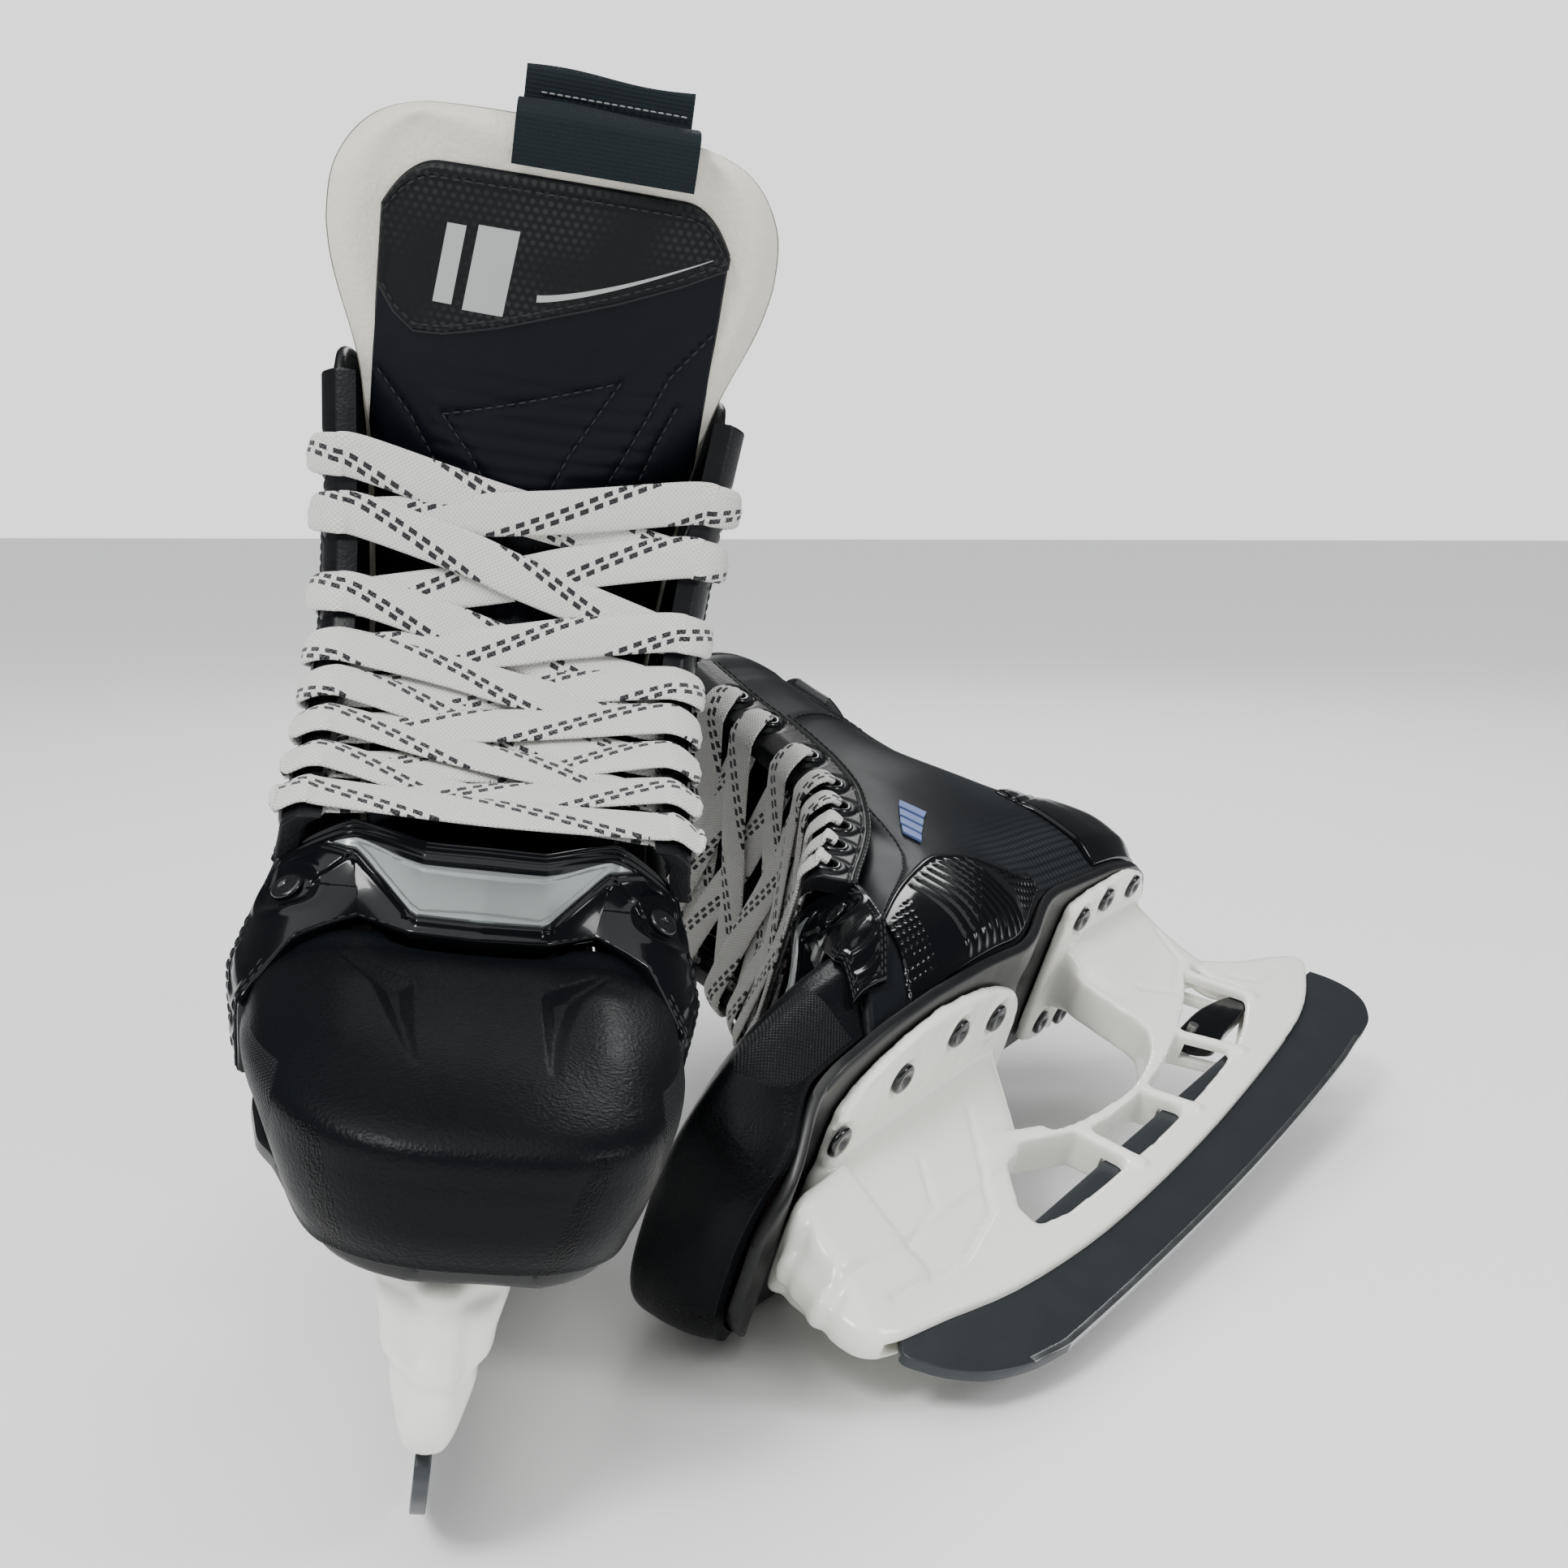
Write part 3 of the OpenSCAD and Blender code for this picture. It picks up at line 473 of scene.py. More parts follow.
def link(name, verts, faces, skate, material, body, uvs=None, smooth=True, angle=None):
    """One piece from skate-frame points, riding on a body of its skate."""
    mesh = bpy.data.meshes.new(skate.node(name))
    if skate.mirror:
        faces = [tuple(reversed(f)) for f in faces]
    mesh.from_pydata(skate.put(verts).tolist(), [], [tuple(int(i) for i in f) for f in faces])
    mesh.update()
    loops = np.zeros(len(mesh.loops), np.int32)
    mesh.loops.foreach_get("vertex_index", loops)
    points = np.array(verts, float).reshape(-1, 3)
    maps = {"flat": points[:, [0, 2]], "side": points[:, [1, 1]], **(uvs or {})}
    for key, values in maps.items():
        values = np.array(values, float).reshape(-1, 2) / UV_MM
        layer = mesh.uv_layers.new(name=key)
        layer.data.foreach_set("uv", values[loops].astype(np.float32).ravel())
    mesh.polygons.foreach_set("use_smooth", [smooth] * len(mesh.polygons))
    mesh.materials.append(material)
    piece = bpy.data.objects.new(skate.node(name), mesh)
    bpy.context.scene.collection.objects.link(piece)
    if angle is not None:
        mesh.set_sharp_from_angle(angle=math.radians(angle))
    if body:
        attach(piece, skate.node(body))
    return piece


def grid_faces(rows, cols, start=0, flip=False):
    i, j = np.meshgrid(np.arange(rows - 1), np.arange(cols - 1), indexing="ij")
    a = (i * cols + j).ravel() + start
    quads = np.stack([a, a + 1, a + cols + 1, a + cols], 1)
    if flip:
        quads = quads[:, ::-1]
    return [tuple(quad) for quad in quads]


def slab_data(outer, inner):
    """Vertices and faces of a closed sheet between two grids of points."""
    rows, cols = outer.shape[:2]
    n = rows * cols
    v = np.concatenate([outer.reshape(-1, 3), inner.reshape(-1, 3)])
    f = grid_faces(rows, cols) + grid_faces(rows, cols, n, True)
    rim = ([(0, j) for j in range(cols)] + [(i, cols - 1) for i in range(1, rows)]
           + [(rows - 1, j) for j in range(cols - 2, -1, -1)]
           + [(i, 0) for i in range(rows - 2, 0, -1)])
    ids = [i * cols + j for i, j in rim]
    for a, b in zip(ids, ids[1:] + ids[:1]):
        f.append((b, a, a + n, b + n))
    return v, f


def fix_normals(piece):
    bm = bmesh.new()
    bm.from_mesh(piece.data)
    bmesh.ops.recalc_face_normals(bm, faces=bm.faces)
    bm.to_mesh(piece.data)
    bm.free()
    return piece


def slab(name, outer, inner, skate, material, body, uv=None, angle=50):
    """Closed sheet between two grids, as one piece; uv holds maps on the same grid."""
    v, f = slab_data(outer, inner)
    uvs = {key: np.concatenate([grid.reshape(-1, 2)] * 2) for key, grid in (uv or {}).items()}
    return fix_normals(link(name, v, f, skate, material, body, uvs, angle=angle))


def solid_data(first, last):
    """Solid between two outlines with the same number of points."""
    n = len(first)
    f = [tuple(range(n)), tuple(range(2 * n - 1, n - 1, -1))]
    f += [(i, i + n, (i + 1) % n + n, (i + 1) % n) for i in range(n)]
    return np.concatenate([first, last]), f


def loft_faces(rings, sides):
    """Faces of a loft through rings of points, with its two ends."""
    f = []
    for i in range(rings - 1):
        for j in range(sides):
            a, b = i * sides + j, i * sides + (j + 1) % sides
            f.append((a, b, b + sides, a + sides))
    f.append(tuple(range(sides - 1, -1, -1)))
    f.append(tuple((rings - 1) * sides + j for j in range(sides)))
    return f


def unit(vectors):
    return vectors / np.maximum(np.linalg.norm(vectors, axis=-1, keepdims=True), 1e-9)


def length_along(path):
    """Length of a path up to each of its points."""
    return np.concatenate([[0], np.cumsum(np.linalg.norm(np.diff(path, axis=0), axis=1))])


def tube_data(path, radius, sides):
    """Round tube along a path, with one radius or one for each point."""
    path = np.asarray(path, float)
    n = len(path)
    t = unit(np.vstack([path[1:], path[-1:]]) - np.vstack([path[:1], path[:-1]]))
    # a direction across the path is carried along it without twisting
    u = np.cross(t, [0.123, 0.456, 0.881])
    u /= np.linalg.norm(u, axis=1, keepdims=True)
    for i in range(1, n):
        u[i] = unit(u[i - 1] - t[i] * np.dot(u[i - 1], t[i]))
    w = np.cross(t, u)
    r = np.broadcast_to(np.asarray(radius, float).reshape(-1, 1), (n, 1))
    turns = [2 * math.pi * k / sides for k in range(sides)]
    rings = np.stack([path + (u * math.cos(a) + w * math.sin(a)) * r for a in turns], 1)
    return rings.reshape(-1, 3), loft_faces(n, sides)


def joined(parts):
    """Several (vertices, faces) in one."""
    v, f, n = [], [], 0
    for part_v, part_f in parts:
        v.append(np.asarray(part_v, float).reshape(-1, 3))
        f += [tuple(i + n for i in face) for face in part_f]
        n += len(v[-1])
    return np.concatenate(v), f


def catmull(a, b, c, d, f):
    """Catmull-Rom value between b and c at share f of the way."""
    return 0.5 * (2 * b + (c - a) * f + (2 * a - 5 * b + 4 * c - d) * f * f
                  + (3 * b - a - 3 * c + d) * f ** 3)


def spline(points, per=8, closed=False):
    """Smooth path through points, with per steps between two of them."""
    p = np.asarray(points, float)
    if closed:
        p = np.concatenate([p[-1:], p, p[:2]])
    else:
        p = np.concatenate([p[:1], p, p[-1:]])
    out = [catmull(*p[i:i + 4], f) for i in range(len(p) - 3) for f in np.arange(per) / per]
    if not closed:
        out.append(p[-1])
    return np.array(out)


def resample(path, step):
    """The same path with evenly spaced points, about a step apart."""
    path = np.asarray(path, float)
    run = length_along(path)
    places = np.linspace(0, run[-1], max(2, int(run[-1] / step) + 1))
    return np.stack([np.interp(places, run, column) for column in path.T], 1)


def stitches(name, paths, skate, body, material, length=2.3, gap=1.3, radius=0.28):
    """Short rounded stitches along surface paths."""
    step = 0.45
    on, off = int(length / step), int(gap / step)
    parts = []
    for path in paths:
        p = resample(path, step)
        i = 0
        while i + on < len(p):
            taper = np.sin(np.linspace(0.25, math.pi - 0.25, on + 1)) ** 0.4
            parts.append(tube_data(p[i:i + on + 1], radius * taper, 6))
            i += on + max(1, off)
    v, f = joined(parts)
    return link(name, v, f, skate, material, body)


def smooth01(t):
    c = np.clip(t, 0, 1)
    return c * c * (3 - 2 * c)


def bell(x, width):
    return np.exp(-(x / width) ** 2)


def curve(values, t):
    """Catmull-Rom curve through values counted in steps; even about its first value."""
    v = np.asarray(values, float)
    last = len(v) - 1
    i = np.clip(np.floor(t), 0, last - 1).astype(int)

    def held(k):
        return v[np.where(k < 0, -k, np.minimum(k, last))]

    return catmull(held(i - 1), held(i), held(i + 1), held(i + 2), t - i)


def odd_curve(values, t):
    """Catmull-Rom over the first axis of a stack of grids; odd about its first one."""
    last = len(values) - 1
    i = np.clip(np.floor(t), 0, last - 1).astype(int)

    def held(k):
        at = np.where(k < 0, -k, np.minimum(k, last))
        value = np.take_along_axis(values, at[None], 0)[0]
        return np.where(k < 0, -value, value)

    return catmull(held(i - 1), held(i), held(i + 1), held(i + 2), t - i)


def curves(table, t):
    """One curve for each column of a table."""
    return np.stack([curve(column, t) for column in np.array(table, float).T], -1)


def ends(a, b, n, share=0.5):
    """n+1 values from a to b that are denser near both ends."""
    u = np.linspace(0, 1, n + 1)
    t = u * (1 - share) + share * (0.5 - 0.5 * np.cos(np.pi * u))
    return a + (b - a) * t


def net(columns, rows):
    """Two grids of one shape, from values along its columns and along its rows."""
    return np.broadcast_arrays(columns[None], rows[:, None])


def edge_distance(grid):
    """Distance of each grid point from the nearest border, along the grid lines."""
    out = np.full(grid.shape[:2], 1e9)
    for axis in (0, 1):
        d = np.linalg.norm(np.diff(grid, axis=axis), axis=2)
        start = np.zeros_like(np.take(d, [0], axis))
        run = np.concatenate([start, np.cumsum(d, axis)], axis)
        total = np.take(run, [-1], axis)
        out = np.minimum(out, np.minimum(run, total - run))
    return out


def rounded(grid, r):
    """How far a surface drops towards its borders when they are rounded."""
    d = edge_distance(grid)
    return np.where(d < r, -(r - np.sqrt(np.maximum(0, r * r - (r - d) ** 2))), 0)


def segment_distance(u, v, a, b):
    """Distance from the line a to b, and the share of it where the nearest point lies."""
    a, b = np.array(a, float), np.array(b, float)
    run = b - a
    k = np.clip(((u - a[0]) * run[0] + (v - a[1]) * run[1]) / (run @ run), 0, 1)
    return np.hypot(u - a[0] - run[0] * k, v - a[1] - run[1] * k), k


def line_distance(u, v, points):
    pairs = zip(points, points[1:])
    return np.min([segment_distance(u, v, a, b)[0] for a, b in pairs], axis=0)


def outward(grid, centre):
    """Unit normals of a grid of points, away from a centre."""
    n = unit(np.cross(np.gradient(grid, axis=1), np.gradient(grid, axis=0)))
    return n if np.sum(n * (grid - np.asarray(centre, float))) > 0 else -n


# ---- Boot surfaces -------------------------------------------------------------------------

SOLE_PLAN = np.array([
    [-122, 0.5, 0.5], [-120, 9, 9], [-114, 17, 17], [-102, 24, 24], [-80, 28.5, 28],
    [-50, 31, 29], [-20, 33.5, 29], [10, 37, 31], [40, 40.5, 35], [68, 41.5, 37],
    [90, 40, 37], [110, 36, 35.5], [122, 29, 32.5], [132, 20, 27], [138, 12, 21], [141, 4, 15]])
OUTSOLE_T = 3.5
INNER = 0.95


def sole_z(x):
    return (75 - 0.019 * np.maximum(0, x - 25) + 15.5 * smooth01((20 - x) / 62)
            - 8.5 * smooth01((x - 114) / 22))


BOTTOM_X = [-121, -114, -94, -64, -32, 4, 37, 66, 93.5]
TOP_X = [-106, -98, -78, -46, -17, -14, -2, 31, 70]
TOP_Z = [207, 211, 224, 232, 229, 197, 153, 129, 104]
HEEL_SWELL = [0, -5.5, -9.5, -5.5, 2.5, 3.5, 0]
HEEL_SHARE = [1, 0.85, 0.35, 0.05, 0, 0, 0, 0, 0]
WIDTH_ROWS = [0, 0.08, 0.2, 0.4, 0.6, 0.8, 1]
WIDTH_NET = [
    [0, 0, 0, 0, 0, 0, 0],
    [17, 21, 22.5, 20, 18, 19, 20],
    [26, 30.5, 32, 29.5, 27, 28.5, 32],
    [30, 35.5, 39, 40.5, 39.5, 42, 47],
    [33, 38.5, 42, 43, 42, 44.5, 50],
    [36, 41.5, 44.5, 44, 42.5, 42.5, 43.5],
    [40, 45.5, 48, 46.5, 43.5, 41, 38.5],
    [39, 42.3, 46, 47.8, 45.5, 42, 36.5],
    [37, 38.5, 41.5, 43.5, 43, 41, 37]]

# steps of the first and the last row of WIDTH_ROWS, for heights beyond the shell's own
FIRST_STEP, LAST_STEP = 0.08, 0.2


def shell_surface(s, v):
    """Boot shell: s counts stations from the heel to each side, v runs from sole to top."""
    s, v = np.broadcast_arrays(np.asarray(s, float), np.asarray(v, float))
    a = np.abs(s)
    row = (np.interp(v, WIDTH_ROWS, range(len(WIDTH_ROWS))) + np.maximum(0, v - 1) / LAST_STEP
           + np.minimum(0, v) / FIRST_STEP)
    bottom, top = curve(BOTTOM_X, a), curve(TOP_X, a)
    x = bottom + (top - bottom) * v + curve(HEEL_SWELL, row) * curve(HEEL_SHARE, a)
    low = sole_z(bottom) + OUTSOLE_T + 0.2
    z = low + (curve(TOP_Z, a) - low) * v
    across = odd_curve(np.stack([curve(column, row) for column in WIDTH_NET]), a)
    return np.stack([x, across * np.where(s < 0, -INNER, 1), z], -1)


def shell_point(s, v, out):
    """Point of the shell moved out along the surface's normal."""
    d = 0.02
    along = shell_surface(np.add(s, d), v) - shell_surface(np.subtract(s, d), v)
    up = (shell_surface(s, np.minimum(1.0, np.add(v, d)))
          - shell_surface(s, np.maximum(0.0, np.subtract(v, d))))
    n = np.cross(along, up)
    n /= np.linalg.norm(n, axis=-1, keepdims=True)
    return shell_surface(s, v) - n * np.asarray(out)[..., None]


def shell_grid(end, low, high, cols, rows, start=None):
    """Places s, v of a panel; low and high are lists of v along the panel."""
    start = -end if start is None else start
    s = ends(start, end, cols, 0.2)
    t = (s - start) / (end - start)
    lo = curve(low, t * (len(low) - 1))
    hi = curve(high, t * (len(high) - 1))
    f = ends(0, 1, rows, 0.4)[:, None]
    return np.broadcast_to(s, (rows + 1, cols + 1)), lo + (hi - lo) * f


def shell_skin(name, s, v, near, far, relief, skate, material, soft_edge):
    """Closed sheet on the boot shell from near to far, with relief on its outer face."""
    lift = far + rounded(shell_surface(s, v), soft_edge) + relief
    return slab(name, shell_point(s, v, lift), shell_point(s, v, near), skate, material, "boot")


CAP_LEVELS = np.array([
    [0, 144.5, 39.5], [6, 148.5, 41.8], [12, 149.5, 44.3], [17, 147.5, 45.5], [20.5, 139, 45],
    [24.5, 124, 43.5], [28, 104, 39], [30.3, 87, 31], [31, 73, 20]])
CAP_X = 64.0
CAP_POWER = 2.9
CAP_BASE_Z = float(sole_z(np.float64(120)) + OUTSOLE_T)


def cap_surface(level, turning):
    """Toe cap: level counts rows of CAP_LEVELS, turning runs from -1 to 1 round the front."""
    level, turning = np.broadcast_arrays(level, turning)
    height, front, half = (curve(column, level) for column in CAP_LEVELS.T)
    half = half * np.where(turning < 0, INNER, 1)
    # the cap runs on under the facemask
    rear = (95.5 - 0.8 * height - 9 * smooth01((height - 12) / 6)
            - 6 * smooth01((height - 17) / 5))
    reach = front - CAP_X
    end = np.arccos(np.clip((rear - CAP_X) / reach, 0, 1) ** (CAP_POWER / 2))
    ang = np.abs(turning) * end
    x = CAP_X + reach * np.cos(ang) ** (2 / CAP_POWER)
    y = half * np.sin(ang) ** (2 / CAP_POWER) * np.sign(turning) - cap_lean(x)
    rim = sole_z(x) + OUTSOLE_T + 0.7
    z = rim + (CAP_BASE_Z - rim) * smooth01(height / 22) + height
    return np.stack([x, y, z], -1)


def cap_lean(x):
    """How far the toe leans to the inner side of the foot."""
    return 6 * (np.maximum(0, x - CAP_X) / 86) ** 2


def cap_inside(points, depth):
    """The points moved inwards, and always down, towards the middle of the toes."""
    d = np.array([CAP_X - 4, 0, CAP_BASE_Z - 6]) - points
    d[..., 2] = np.minimum(-4, d[..., 2] + 8)
    d /= np.linalg.norm(d, axis=-1, keepdims=True)
    return points + d * depth


MASK_FRONT = [[73, 0, 107.2], [71, 14, 107.2], [62, 25.5, 108.6], [71, 37, 104.5],
              [84, 43.5, 95], [94, 41, 84]]
MASK_REAR = [[48, 0, 122.3], [48, 14, 122.3], [49.5, 30, 127], [44, 43.5, 116], [63, 49, 97],
             [80, 44, 84]]


def mask_edge(table, t):
    """Edge of the facemask: even in its table's rows, and mostly straight between them."""
    rows = np.array(table, float)
    straight = np.stack([np.interp(t, range(len(rows)), column) for column in rows.T], -1)
    smooth = curves(rows, t)
    return smooth + (straight - smooth) * 0.75


def mask_surface(u, w):
    """Facemask: u counts rows of its edges to each side, w runs from front to rear."""
    u, w = np.broadcast_arrays(np.asarray(u, float), np.asarray(w, float))
    front, rear = mask_edge(MASK_FRONT, np.abs(u)), mask_edge(MASK_REAR, np.abs(u))
    p = front + (rear - front) * w[..., None]
    p[..., 1] *= np.where(u < 0, -INNER, 1)
    p[..., 2] += 1.2 * np.sin(np.pi * w)
    return p


# Places up the mask and half widths of the badge plate
BADGE_W = [0.15, 0.3, 0.45, 0.6, 0.76]
BADGE_HALF = [0.95, 1.33, 1.68, 1.95, 2.25]
MASK_RIVET = (3.0, 0.5)


def mask_point(u, w, out):
    d = 0.02
    u, w = np.broadcast_arrays(np.asarray(u, float), np.asarray(w, float))
    n = np.cross(mask_surface(u + d, w) - mask_surface(u - d, w),
                 mask_surface(u, w + d) - mask_surface(u, w - d))
    n /= np.linalg.norm(n, axis=-1, keepdims=True)
    return mask_surface(u, w) + n * (np.asarray(out) + 0.5)[..., None]


EYELET_LINE = np.array([
    [51.5, 43.5, 124.3], [44.5, 43.2, 128], [32.5, 43, 133.8], [21, 43, 140.2],
    [11, 43.3, 147.8], [1.8, 44, 157.3], [-5, 45, 171.8], [-9.3, 46.8, 192],
    [-10, 48.5, 206], [-13, 51, 226.5]])
EYELETS = range(1, 9)
STAY_REAR = 9.5


def stay_place(k):
    """Middle of the eyestay at k along it, where the whole numbers 1 to 8 are eyelets."""
    return curves(EYELET_LINE, np.asarray(k, float))


def stay_up(k):
    d = stay_place(np.minimum(9, np.add(k, 0.1))) - stay_place(np.maximum(0, np.add(k, -0.1)))
    d[..., 1] = 0
    return d / np.linalg.norm(d, axis=-1, keepdims=True)


def stay_out(k):
    """Direction across the eyestay, towards its front edge."""
    u = stay_up(k)
    return np.stack([u[..., 2], np.zeros_like(u[..., 0]), -u[..., 0]], -1)


def stay_front(k):
    """Width of the eyestay in front of its eyelets."""
    return 4.5 + 3.5 * smooth01((np.asarray(k, float) - 1) / 4)


def stay_reach(k, w):
    """Distance across the eyestay from its eyelets, for w from -1 to 1."""
    return w * np.where(w > 0, stay_front(k), STAY_REAR)


def stay_point(k, w, out):
    k, w = np.broadcast_arrays(np.asarray(k, float), np.asarray(w, float))
    p = stay_place(k) + stay_out(k) * stay_reach(k, w)[..., None]
    rear_curl = 0.8 * w * (1 + w) - np.where(k < 7, 1.6 * w * w, 0)
    p[..., 1] += out - np.where(w > 0, 4 * w * w, rear_curl)
    return p


# Rows of x, z, half width, and how far the sides curve back
TONGUE_LINE = np.array([
    [60, 106.5, 24, 2], [49, 116.5, 27, 3], [39, 126.5, 29, 4], [28, 136.5, 31, 5],
    [17, 144.5, 32, 7], [7.5, 152.5, 33, 8], [0, 162, 34.5, 9], [-5, 174, 36, 10],
    [-7.5, 188, 38, 11], [-7, 202, 40, 11], [-3, 215, 42.5, 10], [2.5, 229, 45.5, 9],
    [8, 243, 49, 8], [13, 257, 51.5, 7], [18, 271, 51.5, 6.5], [23, 286, 43, 6]])
TONGUE_STEP = 14.6


def tongue_value(k, t):
    return curve(TONGUE_LINE[:, k], t)


def tongue_point(t, y, deep):
    """Point of the tongue at t along its line and y across, deep behind its front face."""
    t, y = np.broadcast_arrays(np.asarray(t, float), np.asarray(y, float))
    a, b = np.maximum(0, t - 0.1), np.minimum(15, t + 0.1)
    up = np.stack([tongue_value(0, b) - tongue_value(0, a),
                   tongue_value(1, b) - tongue_value(1, a)], -1)
    up /= np.linalg.norm(up, axis=-1, keepdims=True)
    d = deep + tongue_value(3, t) * (y / tongue_value(2, t)) ** 2
    return np.stack([tongue_value(0, t) - up[..., 1] * d, y,
                     tongue_value(1, t) + up[..., 0] * d], -1)


# ---- Pieces made the same way for both skates ----------------------------------------------

THREAD_FINE = (1.9, 1.1, 0.25)


def overlay_seam(s):
    """Height v of the seam where the upper overlay begins on the quarter."""
    return 0.62 + 0.10 * np.sin(np.abs(s) * 0.8 - 1.0)


def make_shell(skate):
    end, height = 7.95, 130
    s, v = shell_grid(end, [0, 0], [1, 1], 220, 70)
    # sewn channels under the collar edge, and a pressed line that follows the overlay
    down = (1 - v) * height
    relief = 0.35 * bell(down - 3, 2.2)
    for centre in (8.5, 11.5):
        relief = relief - 0.35 * bell(down - centre, 0.8)
    over = smooth01((v - overlay_seam(s)) / 0.012)
    relief = relief + 0.5 * over * (np.abs(s) > 2.5)
    relief = relief * (np.abs(s) < end - 0.05)
    piece = shell_skin("quarter", s, v, -2.2, 0, relief, skate, M["quarter"], 0.9)
    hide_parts(skate.node("boot_shell"))
    a = np.linspace(2.7, 7.7, 160)
    paths = [shell_point(side * a, overlay_seam(a) + 0.016, 0.62) for side in (-1, 1)]
    collar = np.linspace(-5.3, 5.3, 400)
    paths += [shell_point(collar, 1 - drop, 0.1) for drop in (0.067, 0.092)]
    thread = stitches("quarter_stitches", paths, skate, "boot", M["thread"])
    # piping along the top edge
    top = shell_point(np.linspace(-5.6, 5.6, 220), 1.0, -1.1) + [0, 0, 0.3]
    piece = link("collar_piping", *tube_data(top, 1.5, 12), skate, M["stay"], "boot")


def make_collar(skate):
    shell_t, gap, pad_t, low, high = 2.2, 1.2, 6.5, 0.18, 1.01
    s, v = shell_grid(3.3, [low, low], [high, high], 130, 60)
    far = -shell_t - gap
    near = far - pad_t
    # ankle pads swell inwards, and quilting runs along the collar
    puff = 1.2 * np.exp(-((np.abs(s) - 2.2) / 0.9) ** 2 - ((v - 0.72) / 0.2) ** 2)
    quilt = 0.45 * np.abs(np.sin((v - low) / (high - low) * 9.0)) ** 0.4
    edge = rounded(shell_surface(s, v), 3.2)
    outer = shell_point(s, v, far + edge * 0.5 + 0.6 * (v > 0.97))
    inner = shell_point(s, v, near - edge * 0.9 - 0.3 * puff - quilt * 0.4 + 0.05)
    piece = slab("collar_pad", outer, inner, skate, M["lining"], "boot")
    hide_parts(skate.node("collar_pad"))


COUNTER_END = 2.7
COUNTER_TOP = [0.3, 0.4, 0.44, 0.4, 0.3]


def counter_top(s):
    return curve(COUNTER_TOP, (s + COUNTER_END) / (2 * COUNTER_END) * 4)


def make_heel_counter(skate):
    s, v = shell_grid(COUNTER_END, [0.01, 0.01, 0.01], COUNTER_TOP, 160, 60)
    down = (counter_top(s) - v) * 125
    relief = 0.4 * smooth01((down - 10) / 3) * smooth01(v / 0.08)
    for line in (5.0, 8.2):
        relief -= 0.65 * bell(down - line, 0.75)
    relief -= 0.45 * bell(np.abs(s) - 0.05, 0.03) * smooth01((down - 12) / 4)
    piece = shell_skin("heel_counter", s, v, 0.2, 1.5, relief, skate, M["gloss"], 1.0)
    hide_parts(skate.node("heel_counter"))
    a = np.linspace(-2.62, 2.62, 300)
    thread = stitches("heel_stitches", [shell_point(a, counter_top(a) - 0.018, 1.35)], skate, "boot",
                  M["thread_pale"])


def make_side_panels(skate):
    start, end, height = 4.1, 7.3, 90
    tops = [0.06, 0.3, 0.5, 0.52]
    s, v = shell_grid(end, [0.015, 0.015], tops, 190, 90, start)
    t = (s - start) / (end - start)
    top = curve(tops, t * 3)
    f = v / top
    relief = np.zeros_like(v)
    # ribs fan out from the sole under the ball of the foot
    for k in range(9):
        line = 0.27 + 0.05 * k + (0.04 + 0.012 * k) * f ** 1.6
        relief += (0.75 * bell(t - line, 0.0085) * smooth01((f - 0.05) / 0.1)
                   * smooth01((0.92 - f) / 0.1))
    # rows of dots in front of and behind the ribs
    pitch_x, pitch_z = 2.6, 2.25
    p = shell_surface(s, v)
    row, z = np.divmod(p[..., 2] / pitch_z, 1)
    x = (p[..., 0] / pitch_x + 0.5 * (row % 2)) % 1
    dots = np.exp(-(((x - 0.5) * pitch_x) ** 2 + ((z - 0.5) * pitch_z) ** 2) / 0.45)
    field = np.maximum(smooth01((0.23 - t) / 0.05), smooth01((t - 0.83) / 0.04))
    relief -= 0.5 * dots * field * smooth01((f - 0.1) / 0.1) * smooth01((0.86 - f) / 0.1)
    # raised rim
    relief += 0.35 * bell((top - v) * height - 2.2, 1.1)
    for side, name in ((1, "outer"), (-1, "inner")):
        piece = shell_skin("side_panel_" + name, s * side, v, 0.2, 1.25, relief, skate, M["gloss"],
                        0.8)
        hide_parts(skate.node("side_panel_" + name))


def make_marks(skate):
    """A row of plain slanted bars on the outer quarter, where the real skate has a name."""
    u, w = net(np.linspace(0, 1, 9), np.linspace(0, 1, 9))
    parts = []
    for n in range(4):
        s = 4.4 + 0.25 * n + 0.18 * w + 0.06 * u
        v = 0.335 + 0.02 * n + 0.015 * w + 0.08 * u
        parts.append(slab_data(shell_point(s, v, 1.0), shell_point(s, v, 0.3)))
    piece = fix_normals(link("quarter_print", *joined(parts), skate, M["mark"], "boot", angle=40))


def plan_widths(x):
    """How far the sole reaches to the outer and to the inner side."""
    return [np.interp(x, SOLE_PLAN[:, 0], SOLE_PLAN[:, column]) for column in (1, 2)]


